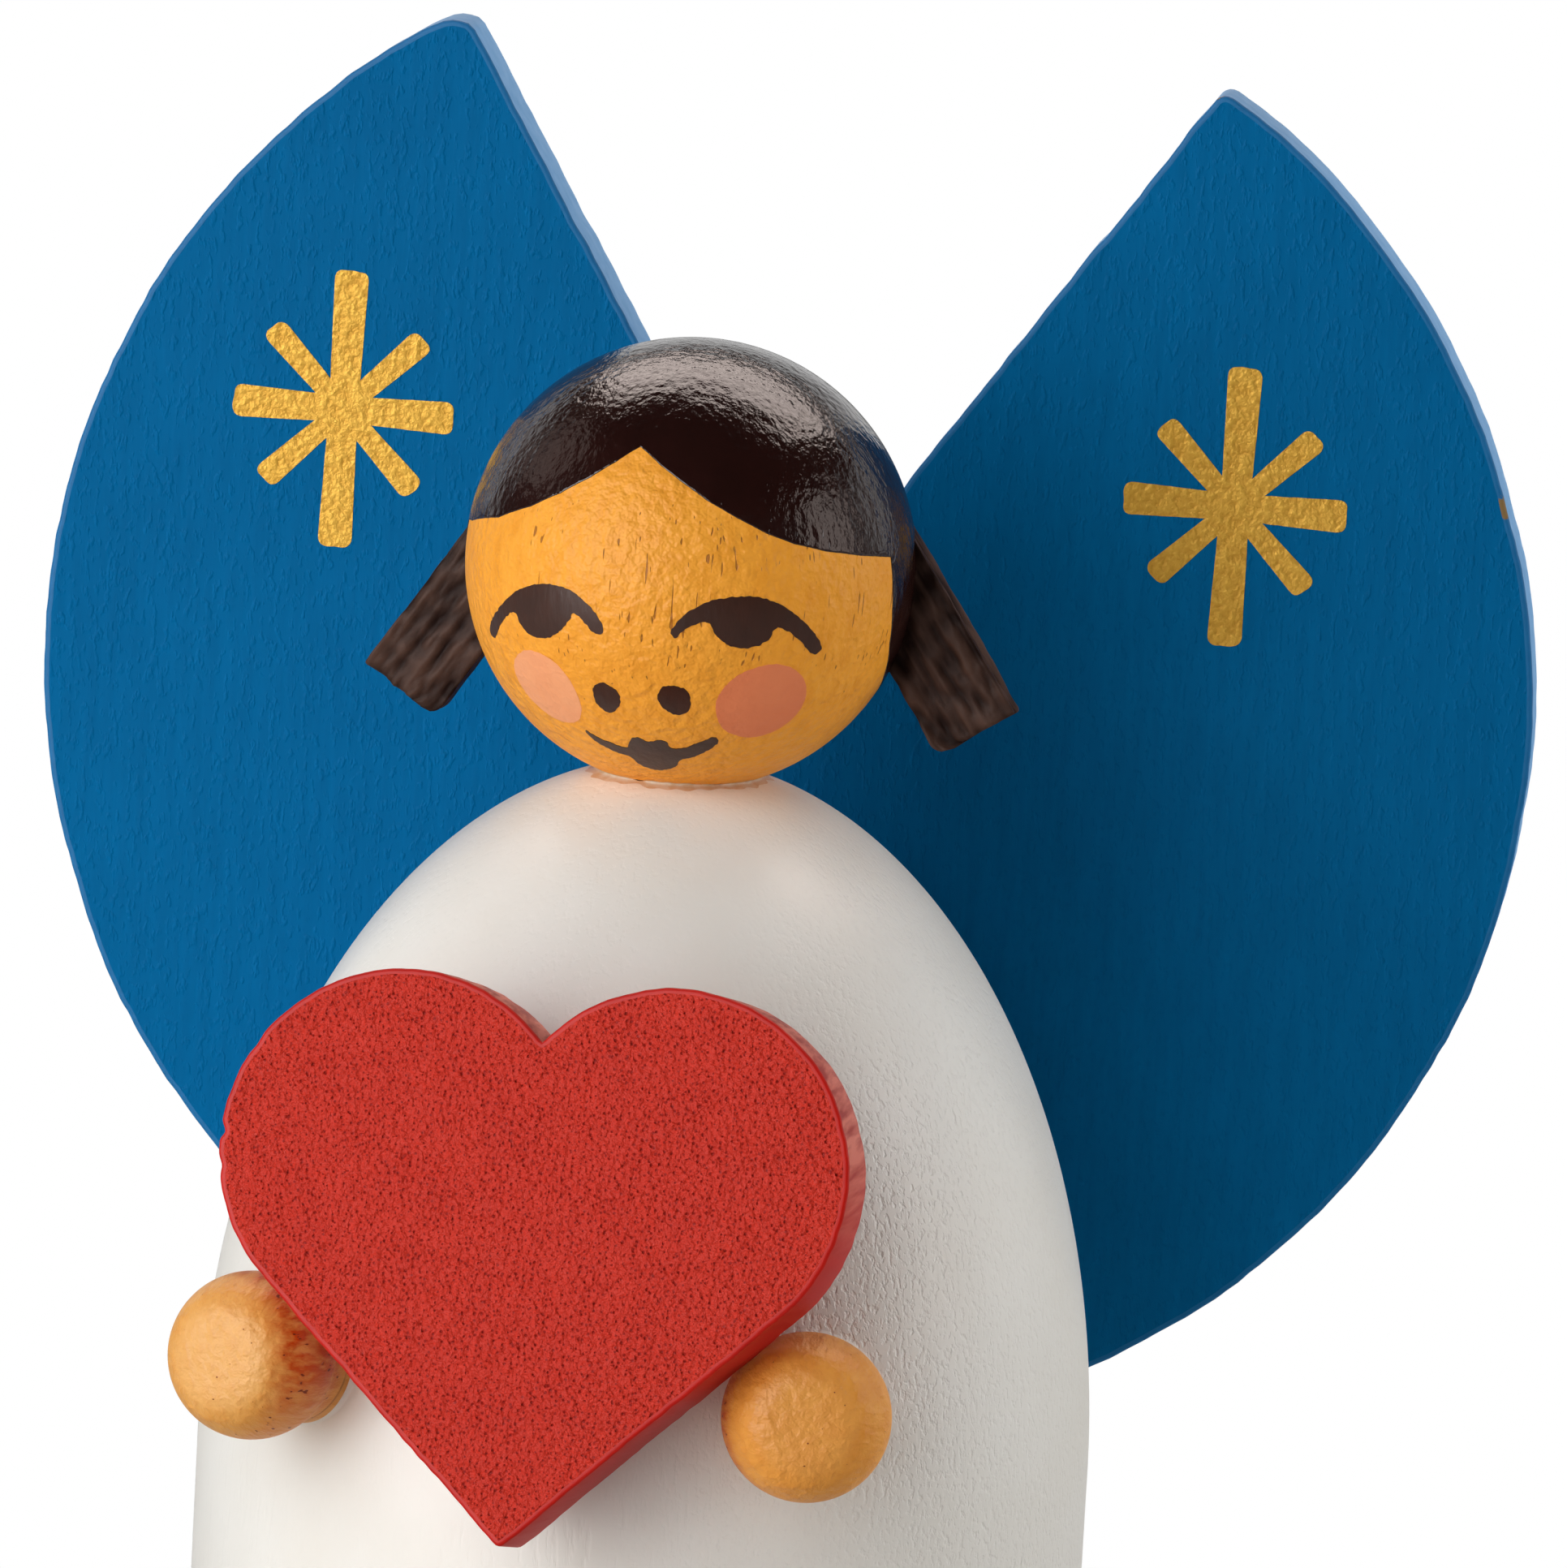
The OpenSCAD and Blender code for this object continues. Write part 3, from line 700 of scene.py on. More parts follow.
# Arms: two turned pegs, each with a straight root, a slim waist and a ball hand sanded flat in front.
# They are dyed and lacquered as the head is, and glued into bores in the body's front.
hand_radius = 2.2
hand_flat = 1.3
flat_crown = 0.05
flat_softening = 0.45
hand_reach = 2.65
arm_waist = 1.85
arm_root_radius = 1.9
arm_root = 1.4
root_past_body = 0.3
waist_softening = 0.6
arm_rise = 3.801
arm_place = 35.5
arm_turn = 14.0
arm_tilt = 7.0
front_turn = 1.7
peg_blotch = 0.6
streak_width = 0.26
speck_size = 0.13
waist_reflection_lean = 0.5
sanded_margin = 0.25
ARM_STEPS = 96
BALL_STEPS = 30
BALL_TRIM = 6

hand_middle = arm_root + hand_reach
ball_start = -math.acos(arm_waist / hand_radius)
ball_end = math.acos(hand_flat / hand_radius)
ball = []
for step in range(BALL_STEPS + 1):
    angle = ball_start + (ball_end - ball_start) * step / BALL_STEPS
    ball.append((hand_radius * math.cos(angle), hand_middle + hand_radius * math.sin(angle)))
flat_level = ball[-1][1]
root_end = (arm_root_radius, arm_root + root_past_body)
neck_of_hand = softened([(arm_root_radius, 0), root_end, ball[0], ball[BALL_TRIM]], waist_softening, 10)
tip_of_hand = softened([ball[-BALL_TRIM], ball[-1], (0, flat_level + flat_crown)], flat_softening, 10)
arm_profile = [(0, 0)] + neck_of_hand[:-1] + ball[BALL_TRIM:1 - BALL_TRIM] + tip_of_hand[1:]
peg_points, peg_faces = turned(arm_profile, ARM_STEPS)

front = Matrix.Rotation(math.radians(-front_turn), 4, "Z")
place_radius = body_radius * math.sqrt(1 - (arm_rise / dome_height) ** 2)
arm_places = []
# Each arm has its own tones. The figure's right hand faces the main lamp, and its paler sanded tone is
# partly painted sheen.
for side, node, pale_dye, deep_dye, sanded_tone_and_sheen, waist_back, waist_reach in (
        (1, "arm_left", "#F4AC4E", "#DA8630", "#E09C52", 1.3, 1.5),
        (-1, "arm_right", "#EEB062", "#DC9640", "#F0BC7C", 0.9, 2.0)):
    spread = math.radians(arm_place)
    spot = (side * place_radius * math.sin(spread), -place_radius * math.cos(spread), wide_level + arm_rise)
    place = front @ Matrix.Translation(spot) @ Matrix.Rotation(side * math.radians(arm_turn), 4, "Z")
    place = place @ Matrix.Rotation(math.radians(90 - arm_tilt), 4, "X")
    place = place @ Matrix.Translation((0, 0, -arm_root))
    arm_places.append(place)

    # Lacquer on the pegs is warm and streaked, and paler on the sanded flat. On the hand that faces the main
    # lamp the paler flat is also a painted sheen. The deep orange in the waist is partly dye gathered in its
    # rough end grain and partly painted reflection of the red heart and painted shade under it, so it is
    # strongest above and on the side that faces the heart.
    peg_tan, tree, shader, point = start_material("tan_lacquered_" + node, 0.42, 0.2)
    back_to_peg = place.inverted()
    along_peg = add(tree, "Mapping", {}, {"Vector": point, "Location": back_to_peg.to_translation(),
                                          "Rotation": back_to_peg.to_euler("XYZ")})
    dye = clouded(tree, point, peg_blotch, 3.0, pale_dye, deep_dye)[1]
    stretched = add(tree, "Mapping", {}, {"Vector": along_peg.outputs[0], "Scale": (1.0, 1.0, 0.3)})
    streaks = add(tree, "TexNoise", {},
                  {"Vector": stretched.outputs[0], "Scale": 1 / streak_width, "Detail": 3.0})
    streak_mask = add(tree, "MapRange", {}, {0: streaks.outputs[0], 1: 0.45, 2: 0.75, 3: 0.0, 4: 0.5})
    streaked = add(tree, "Mix", {"data_type": "RGBA"},
                   {0: streak_mask.outputs[0], 6: dye, 7: linear("#DB8A32")})
    down_peg = add(tree, "SeparateXYZ", {}, {0: along_peg.outputs[0]})
    past_waist = add(tree, "Math", {"operation": "SUBTRACT"},
                     {0: down_peg.outputs["Z"], 1: hand_middle - waist_back})
    from_waist = add(tree, "Math", {"operation": "MULTIPLY_ADD"},
                     {0: down_peg.outputs["X"], 1: side * waist_reflection_lean, 2: past_waist.outputs[0]})
    waist_off = add(tree, "Math", {"operation": "ABSOLUTE"}, {0: from_waist.outputs[0]})
    in_waist = add(tree, "MapRange", {"interpolation_type": "SMOOTHSTEP"},
                   {0: waist_off.outputs[0], 1: waist_reach / 2, 2: waist_reach, 3: 1.0, 4: 0.0})
    shade_and_reflection_above = add(tree, "MapRange", {}, {0: down_peg.outputs["Y"], 1: -1.6, 2: 0.2, 3: 0.3, 4: 1.0})
    waist_dye_and_reflection = add(tree, "MapRange", {},
                    {0: streaks.outputs[0], 1: 0.35, 2: 0.6, 3: 0.3, 4: shade_and_reflection_above.outputs[0]})
    waist_dye_and_reflection_mask = add(tree, "Math", {"operation": "MULTIPLY"},
                     {0: in_waist.outputs[0], 1: waist_dye_and_reflection.outputs[0]})
    dyed_and_reflected_waist = add(tree, "Mix", {"data_type": "RGBA"},
                  {0: waist_dye_and_reflection_mask.outputs[0], 6: streaked.outputs[2], 7: linear("#C4440A")})
    on_flat = add(tree, "MapRange", {"interpolation_type": "SMOOTHSTEP"},
                  {0: down_peg.outputs["Z"], 1: flat_level - sanded_margin, 2: flat_level, 3: 0.0, 4: 0.35})
    sanded = add(tree, "Mix", {"data_type": "RGBA"},
                 {0: on_flat.outputs[0], 6: dyed_and_reflected_waist.outputs[2], 7: linear(sanded_tone_and_sheen)})
    specks = add(tree, "TexNoise", {},
                 {"Vector": stretched.outputs[0], "Scale": 1 / speck_size, "Detail": 1.0})
    speck_limit = add(tree, "MapRange", {}, {0: in_waist.outputs[0], 3: 0.77, 4: 0.7})
    speck_over = add(tree, "Math", {"operation": "SUBTRACT"},
                     {0: specks.outputs[0], 1: speck_limit.outputs[0]})
    speck_mask = add(tree, "MapRange", {}, {0: speck_over.outputs[0], 1: 0.0, 2: 0.03})
    specked = add(tree, "Mix", {"data_type": "RGBA"},
                  {0: speck_mask.outputs[0], 6: sanded.outputs[2], 7: linear("#7E3010")})
    lumpy = add(tree, "Bump", {}, {"Strength": 0.9, "Distance": 0.1 * MM, "Height": streaks.outputs[0]})
    relief = add(tree, "Bump", {"invert": True},
                 {"Strength": 0.6, "Distance": 0.05 * MM, "Height": speck_mask.outputs[0],
                  "Normal": lumpy.outputs[0]})
    finish_material(shader, specked.outputs[2], relief)
    peg = make_piece("peg_" + node, [place @ corner for corner in peg_points], peg_faces, [peg_tan],
                     "figure")
    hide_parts(node)

# Paint rings: the white paint gathers in a small ragged fillet where each arm leaves the body.
# It follows the body's curve round the peg and fades into the skirt.
ring_width = 0.2
ring_height = 0.07
ring_overlap = 0.02
ring_sink = 0.012
ring_fall = 2.2
width_ragged = 0.3
height_ragged = 0.5
ragged_waves = 1.5
RING_STEPS = 96
RING_ROWS = 8


def body_depth(place, across, upward):
    """How far along a peg's axis its line through a spot meets the body's outer face."""
    start = place @ Vector((across, upward, 0))
    heading = place.to_3x3() @ Vector((0, 0, 1))
    squash = body_radius / dome_height
    from_middle = Vector((start.x, start.y, (start.z - wide_level) * squash))
    along = Vector((heading.x, heading.y, heading.z * squash))
    half = from_middle.dot(along)
    inside_root = half * half - along.dot(along) * (from_middle.dot(from_middle) - body_radius ** 2)
    return (-half + math.sqrt(inside_root)) / along.dot(along)


for place, name in zip(arm_places, ("left_arm_ring", "right_arm_ring")):
    ring_points = []
    for step in range(RING_STEPS):
        heading = math.tau * step / RING_STEPS
        ragged = noise.noise(Vector((math.cos(heading) * ragged_waves,
                                     math.sin(heading) * ragged_waves, 9.0)))
        for row in range(RING_ROWS):
            share = row / (RING_ROWS - 1)
            radius = arm_root_radius - ring_overlap + ring_width * (1 + width_ragged * ragged) * share
            across = radius * math.cos(heading)
            upward = radius * math.sin(heading)
            bulge = ring_height * (1 + height_ragged * ragged) * (1 - share) ** ring_fall
            height = bulge - ring_sink * share
            ring_points.append(place @ Vector((across, upward, body_depth(place, across, upward) + height)))
    ring_rows = [range(row, len(ring_points), RING_ROWS) for row in range(RING_ROWS)]
    make_piece(name, ring_points, skin(ring_rows[::-1]), [white], "figure")

# Heart: sawn from a thin board of open-pored wood, sanded and brushed with red paint, then held by a dowel.
# The paint leaves the pores open as dark dimples, runs smooth along the edge, and lies thin on the sawn rim.
# A nick in its outline is given by its place, its depth and its width.
heart_thickness = 2.0
heart_softening = 0.09
heart_lean = 13.4
heart_turn = 1.6
heart_drop = 6.8
heart_stand = 1.6
heart_aside = 0.4
lobe_radius = 4.75
lobe_out = 3.6
lobe_up = 9.9
tip_softening = 0.25
heart_nicks = [(-8.35, 10.15, 0.12, 0.16), (-8.3, 9.25, 0.07, 0.2), (-7.7, 12.4, 0.05, 0.25)]
heart_middle = Vector((0, 8.0))
heart_wobble = 0.05
heart_wobble_size = 2.0
heart_ripple = 0.025
heart_ripple_size = 0.4
heart_step = 0.1
pit_spacing = 0.19
pit_patch = 0.9
tone_size = 0.9
grit_size = 0.16
saw_pitch = 0.3
thin_paint_and_light_level = 31.5
thin_paint_and_light_fade = 1.5
LOBE_STEPS = 60
HEART_GRID = 0.5


def plate(outline, thickness, softening, grid):
    """Builds a plate from a closed outline. Returns its points, its faces and each face's kind.

    Kind 0 is a flat face, 1 the sawn rim and 2 the softened edge between them.
    """
    count = len(outline)
    outward = []
    for index in range(count):
        along = outline[(index + 1) % count] - outline[index - 1]
        outward.append(Vector((along.y, -along.x)).normalized())
    round_steps = 4
    flat_inset = softening + 0.06
    quarter = [math.pi / 2 * step / round_steps for step in range(round_steps + 1)]
    levels = [(flat_inset, thickness)]
    levels += [(softening * (1 - math.sin(angle)), thickness - softening * (1 - math.cos(angle)))
               for angle in quarter]
    levels += [(0.0, thickness * 0.5)]
    levels += [(softening * (1 - math.cos(angle)), softening * (1 - math.sin(angle))) for angle in quarter]
    levels += [(flat_inset, 0.0)]
    points = []
    for inset, height in levels:
        for corner, normal in zip(outline, outward):
            flat = corner - normal * inset
            points.append(Vector((flat.x, flat.y, height)))
    rings = [range(level * count, (level + 1) * count) for level in range(len(levels))]
    faces = skin(rings[::-1])
    kinds = []
    middle = len(levels) // 2
    for level in range(len(levels) - 1):
        kinds += [1 if level in (middle - 1, middle) else 2] * count
    for level, turned_over in ((0, False), (len(levels) - 1, True)):
        start = level * count
        border = [points[start + step].xy for step in range(count)]
        spots, triangles = filled(border, grid)
        extra = len(points)
        points += [Vector((spot.x, spot.y, levels[level][1])) for spot in spots]
        for triangle in triangles:
            face = tuple(start + i if i < count else extra + i - count for i in triangle)
            faces.append(face[::-1] if turned_over else face)
            kinds.append(0)
    return points, faces, kinds


side_angle = math.atan2(lobe_out, lobe_up) + math.asin(lobe_radius / math.hypot(lobe_out, lobe_up))
notch_angle = math.pi - math.acos(lobe_out / lobe_radius)
right_lobe = []
for step in range(LOBE_STEPS + 1):
    angle = -side_angle + (notch_angle + side_angle) * step / LOBE_STEPS
    right_lobe.append((lobe_out + lobe_radius * math.cos(angle), lobe_up + lobe_radius * math.sin(angle)))
left_lobe = [(-x, y) for x, y in right_lobe[-2::-1]]
heart_tip = softened([(-tip_softening, tip_softening), (0, 0), (tip_softening, tip_softening)],
                     tip_softening)[1:-1]
sawn = []
for corner in divided(right_lobe + left_lobe + heart_tip, heart_step):
    from_middle = (corner - heart_middle).normalized()
    wobble = noise.noise(Vector((corner.x, corner.y, 6.0)) / heart_wobble_size) * heart_wobble
    ripple = noise.noise(Vector((corner.x, corner.y, 3.2)) / heart_ripple_size) * heart_ripple
    for nick_x, nick_y, depth, width in heart_nicks:
        reach = (corner - Vector((nick_x, nick_y))).length / width
        ripple -= depth * math.exp(-reach * reach)
    sawn.append(corner + from_middle * (wobble + ripple))
heart_points, heart_faces, heart_kinds = plate(sawn, heart_thickness, heart_softening, HEART_GRID)

# Red paint over open pores is matte and gritty, with a dark dimple at each pore.
red, tree, shader, point = start_material("red_paint_over_open_pores", 0.4, 0.1)
in_face = add(tree, "Mapping", {}, {"Vector": point, "Rotation": (math.radians(-90), 0, 0)})
pits = add(tree, "TexVoronoi", {"voronoi_dimensions": "2D"},
           {"Vector": in_face.outputs[0], "Scale": 1 / pit_spacing, "Randomness": 0.9})
pit_size = add(tree, "TexNoise", {}, {"Vector": point, "Scale": 1 / pit_patch, "Detail": 3.0})
pit_edge = add(tree, "MapRange", {}, {0: pit_size.outputs[0], 1: 0.3, 2: 0.7, 3: 0.14, 4: 0.36})
pit_mask = add(tree, "MapRange", {"interpolation_type": "SMOOTHSTEP"},
               {0: pits.outputs[0], 1: 0.06, 2: pit_edge.outputs[0], 3: 1.0, 4: 0.0})
red_tone = clouded(tree, point, tone_size, 5.0, "#CE3424", "#C02A1C")[1]
pitted = add(tree, "Mix", {"data_type": "RGBA"}, {0: pit_mask.outputs[0], 6: red_tone, 7: linear("#92160F")})
grit = add(tree, "TexNoise", {}, {"Vector": point, "Scale": 1 / grit_size, "Detail": 3.0})
gritty = add(tree, "Bump", {}, {"Strength": 1.0, "Distance": 0.16 * MM, "Height": grit.outputs[0]})
relief = add(tree, "Bump", {"invert": True}, {"Strength": 0.5, "Distance": 0.04 * MM,
                                              "Height": pit_mask.outputs[0], "Normal": gritty.outputs[0]})
finish_material(shader, pitted.outputs[2], relief)

# On the sawn rim the paint is thin and streaked by the saw. Its tone is split by height: pale pink above,
# partly painted light where light falls on the upper rim, and full deep red below, partly painted shade.
red_rim, tree, shader, point = start_material("thin_red_paint_on_sawn_rim", 0.55, 0.2)
across_rim = add(tree, "Mapping", {}, {"Vector": point, "Scale": (1.0, 0.12, 1.0)})
saw_marks = add(tree, "TexNoise", {},
                {"Vector": across_rim.outputs[0], "Scale": 1 / saw_pitch, "Detail": 3.0})
mark_mask = add(tree, "MapRange", {}, {0: saw_marks.outputs[0], 1: 0.4, 2: 0.65})
bare_and_lit_tone = add(tree, "Mix", {"data_type": "RGBA"},
                {0: mark_mask.outputs[0], 6: linear("#D87A68"), 7: linear("#A03A30")})
axes = add(tree, "SeparateXYZ", {}, {0: point})
full_red_and_shade = add(tree, "MapRange", {}, {0: axes.outputs["Z"], 1: thin_paint_and_light_level + thin_paint_and_light_fade,
                                     2: thin_paint_and_light_level - thin_paint_and_light_fade})
rim_tone_and_light = add(tree, "Mix", {"data_type": "RGBA"},
               {0: full_red_and_shade.outputs[0], 6: bare_and_lit_tone.outputs[2], 7: linear("#B41C16")})
relief = add(tree, "Bump", {}, {"Strength": 0.4, "Distance": 0.05 * MM, "Height": saw_marks.outputs[0]})
finish_material(shader, rim_tone_and_light.outputs[2], relief)

# Along the softened edge the paint has run together, smooth and deep red.
red_edge, tree, shader, point = start_material("red_paint_run_smooth_on_edge", 0.4, 0.15)
edge_tone = clouded(tree, point, tone_size, 2.0, "#CC1E10", "#B01008")[1]
finish_material(shader, edge_tone)

touch_angle = math.atan(math.tan(math.radians(heart_lean)) * dome_height / body_radius)
touch = (0, -body_radius * math.cos(touch_angle), wide_level + dome_height * math.sin(touch_angle))
heart_place = front @ Matrix.Translation(touch) @ Matrix.Rotation(math.radians(90 - heart_lean), 4, "X")
heart_place = heart_place @ Matrix.Translation((heart_aside, 0, heart_stand))
heart_place = heart_place @ Matrix.Rotation(math.radians(heart_turn), 4, "Z")
heart_place = heart_place @ Matrix.Translation((0, -heart_drop, 0))
heart = make_piece("red_heart", [heart_place @ corner for corner in heart_points], heart_faces,
                   [red, red_rim, red_edge], "figure")
heart.data.polygons.foreach_set("material_index", heart_kinds)
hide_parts("heart")

# Wings: one thin disc with a wedge sawn out of its top, brushed with matte blue paint and held by a dowel.
# The grain raises small upright lumps in the paint, and the sawn edges are wavy and worn, with a lighter
# tone that is partly painted light.
wing_thickness = 2.1
wing_softening = 0.1
wing_notch = 33.0
notch_up = 1.7
wing_turn = 2.2
right_tip_softening = 0.95
left_tip_softening = 0.5
apex_softening = 0.3
rim_margin = 0.3
arc_wave = 0.07
arc_wave_size = 3.0
arc_inset = 0.03
saw_ripple = 0.03
saw_ripple_size = 0.6
notch_wave = 0.05
notch_wave_size = 0.9412
wing_step = 0.18
wing_wave_middle = Vector((0, -4.0))
grain_width = 0.28
cloud_size = 4.0
paint_lump = 0.16
wear_size = 0.5
worn_angle = math.radians(20.5)
ARC_STEPS = 180
TIP_STEPS = 3
WING_GRID = 1.1

tip_lean = math.radians(wing_notch)
reach_up = notch_up * math.cos(tip_lean)
tip_reach = -reach_up + math.sqrt(reach_up ** 2 + wing_radius ** 2 - notch_up ** 2)
tip = Vector((tip_reach * math.sin(tip_lean), notch_up + tip_reach * math.cos(tip_lean)))
tip_angle = math.atan2(tip.y, tip.x)
arc = []
for step in range(ARC_STEPS + 1):
    angle = math.pi - tip_angle + (math.pi + 2 * tip_angle) * step / ARC_STEPS
    arc.append((wing_radius * math.cos(angle), wing_radius * math.sin(angle)))
notch = (0, notch_up)
near_tip = softened([notch, arc[0], arc[TIP_STEPS]], right_tip_softening, 6)[1:-1]
far_tip = softened([arc[-1 - TIP_STEPS], arc[-1], notch], left_tip_softening, 6)[1:-1]
apex = softened([tip, notch, (-tip.x, tip.y)], apex_softening, 4)[1:-1]
sawn = []
for corner in divided(near_tip + arc[TIP_STEPS:-TIP_STEPS] + far_tip + apex, wing_step):
    ripple = noise.noise(Vector((corner.x, corner.y, 1.2)) / saw_ripple_size) * saw_ripple
    if wing_radius - corner.length > rim_margin:
        outward = Vector((math.copysign(math.cos(tip_lean), -corner.x), math.sin(tip_lean)))
        wave = noise.noise(Vector((corner.x * 0.2, corner.length / notch_wave_size, 6.0))) * notch_wave
    else:
        outward = (corner - wing_wave_middle).normalized()
        wave = noise.noise(Vector((corner.x, corner.y, 15.0)) / arc_wave_size) * arc_wave - arc_inset
    sawn.append(corner + outward * (wave + ripple))
wing_points, wing_faces, wing_kinds = plate(sawn, wing_thickness, wing_softening, WING_GRID)

# Matte blue paint hardly shines. Fine grain darkens it in upright lines, and small lumps catch the light.
blue, tree, shader, point = start_material("matte_blue_paint_on_fine_grain", 0.5, 0.02)
upright = add(tree, "Mapping", {}, {"Vector": point, "Scale": (1.0, 1.0, 0.12)})
grain = add(tree, "TexNoise", {}, {"Vector": upright.outputs[0], "Scale": 1 / grain_width, "Detail": 4.0})
blue_tone = clouded(tree, point, cloud_size, 4.0, "#006BA4", "#006299")[1]
grain_mask = add(tree, "MapRange", {}, {0: grain.outputs[0], 1: 0.35, 2: 0.75, 3: 0.0, 4: 0.3})
grained = add(tree, "Mix", {"data_type": "RGBA"},
              {0: grain_mask.outputs[0], 6: blue_tone, 7: linear("#005080")})
short = add(tree, "Mapping", {}, {"Vector": point, "Scale": (1.0, 1.0, 0.45)})
lumps = add(tree, "TexNoise", {}, {"Vector": short.outputs[0], "Scale": 1 / paint_lump, "Detail": 2.0})
raised = add(tree, "MapRange", {"interpolation_type": "SMOOTHSTEP"}, {0: lumps.outputs[0], 1: 0.5, 2: 0.72})
grainy = add(tree, "Bump", {}, {"Strength": 0.3, "Distance": 0.05 * MM, "Height": grain.outputs[0]})
relief = add(tree, "Bump", {}, {"Strength": 0.4, "Distance": 0.06 * MM, "Height": raised.outputs[0],
                                "Normal": grainy.outputs[0]})
finish_material(shader, grained.outputs[2], relief)

# Thin paint on the sawn edge is dull and uneven, and its pale blue is partly painted light, the light that
# the rim catches from the right, back and top.
blue_rim_and_light, tree, shader, point = start_material("thin_blue_paint_on_sawn_edge", 0.6, 0.3)
saw_marks, rim_tone_and_light = clouded(tree, point, wear_size, 4.0, "#86B6E2", "#5496CE")
relief = add(tree, "Bump", {}, {"Strength": 0.5, "Distance": 0.06 * MM, "Height": saw_marks})
finish_material(shader, rim_tone_and_light, relief)

wing_place = to_seat @ Matrix.Translation((wing_aside, wing_seat + glue_gap + wing_thickness,
                                           wide_level + wing_middle))
wing_place = wing_place @ Matrix.Rotation(math.radians(90), 4, "X")
wing_place = wing_place @ Matrix.Rotation(math.radians(-wing_turn), 4, "Z")

# The paint is rubbed through to brown wood on the softened edge, at the left wing's tip and farther down it.
worn_edge = wing_place @ Vector((wing_radius * math.cos(worn_angle), wing_radius * math.sin(worn_angle),
                                 wing_thickness))
worn_tip = wing_place @ Vector((tip.x, tip.y, wing_thickness))
blue_edge, tree, shader, point = start_material("rubbed_blue_paint_on_edge", 0.55, 0.2)
rubbing, edge_tone = clouded(tree, point, wear_size, 4.0, "#1A74AE", "#06629A")
from_tip = add(tree, "VectorMath", {"operation": "DISTANCE"}, {0: point, 1: worn_tip})
from_worn_edge = add(tree, "VectorMath", {"operation": "DISTANCE"}, {0: point, 1: worn_edge})
from_wear = add(tree, "Math", {"operation": "MINIMUM"}, {0: from_tip.outputs["Value"],
                                                         1: from_worn_edge.outputs["Value"]})
near_wear = add(tree, "MapRange", {}, {0: from_wear.outputs[0], 1: 0.1, 2: 0.7, 3: 0.42, 4: 0.8})
rubbed = add(tree, "Math", {"operation": "SUBTRACT"}, {0: rubbing, 1: near_wear.outputs[0]})
bare = add(tree, "MapRange", {}, {0: rubbed.outputs[0], 1: 0.0, 2: 0.04})
worn = add(tree, "Mix", {"data_type": "RGBA"}, {0: bare.outputs[0], 6: edge_tone, 7: linear("#8A6F45")})
relief = add(tree, "Bump", {}, {"Strength": 0.3, "Distance": 0.05 * MM, "Height": rubbing})
finish_material(shader, worn.outputs[2], relief)

wings = make_piece("blue_wings", [wing_place @ corner for corner in wing_points], wing_faces,
                   [blue, blue_rim_and_light, blue_edge], "figure")
wings.data.polygons.foreach_set("material_index", wing_kinds)
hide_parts("wing_disc")

# Stars: one on each wing, stamped in gold paint as four crossing bars with blunt ends.
# The paint follows the lumps of the wood and stands slightly proud of the blue.
# A bar is given by its reach and its half widths in the middle and at the end.
star_out = 12.45
star_aside = -0.46
star_up = 6.5
star_turn = math.radians(1.2)
star_height = 0.015
star_ragged = 0.035
star_ragged_size = 0.3
star_step = 0.1
bar_rounding = 0.28
upright_bar = (3.87, 0.40, 0.48)
level_bar = (3.09, 0.36, 0.46)
slant_bar = (3.0, 0.26, 0.37)
flake_size = 0.2
STAR_GRID = 0.3

# Gold flake paint is a warm yellow that glitters faintly in small lumps.
gold, tree, shader, point = start_material("stamped_gold_flake_paint", 0.45, 0.3)
shader.inputs["Metallic"].default_value = 0.3
flakes = add(tree, "TexNoise", {}, {"Vector": point, "Scale": 1 / flake_size, "Detail": 3.0})
flake_mask = add(tree, "MapRange", {}, {0: flakes.outputs[0], 1: 0.3, 2: 0.7})
gold_tone = add(tree, "Mix", {"data_type": "RGBA"},
                {0: flake_mask.outputs[0], 6: linear("#CA942C"), 7: linear("#DEAC40")})
relief = add(tree, "Bump", {}, {"Strength": 0.8, "Distance": 0.08 * MM, "Height": flakes.outputs[0]})
finish_material(shader, gold_tone.outputs[2], relief)


def on_wing(spot, height):
    """Point over the wings' front face, in the disc's own frame."""
    return wing_place @ Vector((spot.x, spot.y, wing_thickness + height))


for side, name in ((1, "left_star"), (-1, "right_star")):
    bars = []
    for eighth in range(8):
        reach, inner_half, outer_half = (level_bar, slant_bar, upright_bar, slant_bar)[eighth % 4]
        turn = Matrix.Rotation(math.tau * eighth / 8 + star_turn, 3, "Z")
        bars.append([turn @ Vector(corner) for corner in ((0, -inner_half, 0), (reach, -outer_half, 0),
                                                          (reach, outer_half, 0), (0, inner_half, 0))])
    crossings = []
    for bar, after in zip(bars, bars[1:] + bars[:1]):
        crossings.append(geometry.intersect_line_line(bar[3], bar[2], after[0], after[1])[0])
    outline = []
    for index, bar in enumerate(bars):
        corners = [corner.xy for corner in (crossings[index - 1], bar[1], bar[2], crossings[index])]
        outline += softened(corners, bar_rounding, 5)[1:]
    middle = Vector((side * star_out + star_aside, star_up))
    stamped = []
    for corner in divided(outline, star_step):
        ragged = noise.noise(Vector((corner.x / star_ragged_size + 30 * side,
                                     corner.y / star_ragged_size, 1.0)))
        stamped.append(middle + corner + corner.normalized() * ragged * star_ragged)
    paint_layer(name, stamped, STAR_GRID, on_wing, star_height, gold)

# Studio: a pale paper floor and a white backdrop, with soft boxes round the figure and cards that only
# show as reflections in the gloss. The camera has the photo's place and field of view.
half_floor = 3.0
shadow_reach = 25.0
white_from = 70.0
camera_azimuth = math.radians(12.4)
camera_elevation = math.radians(9.67)
camera_roll = math.radians(3.19)
camera_distance = 300.0
view_width = 42.254
view_right = 2.79
view_up = 18.0
film_width = 36.0

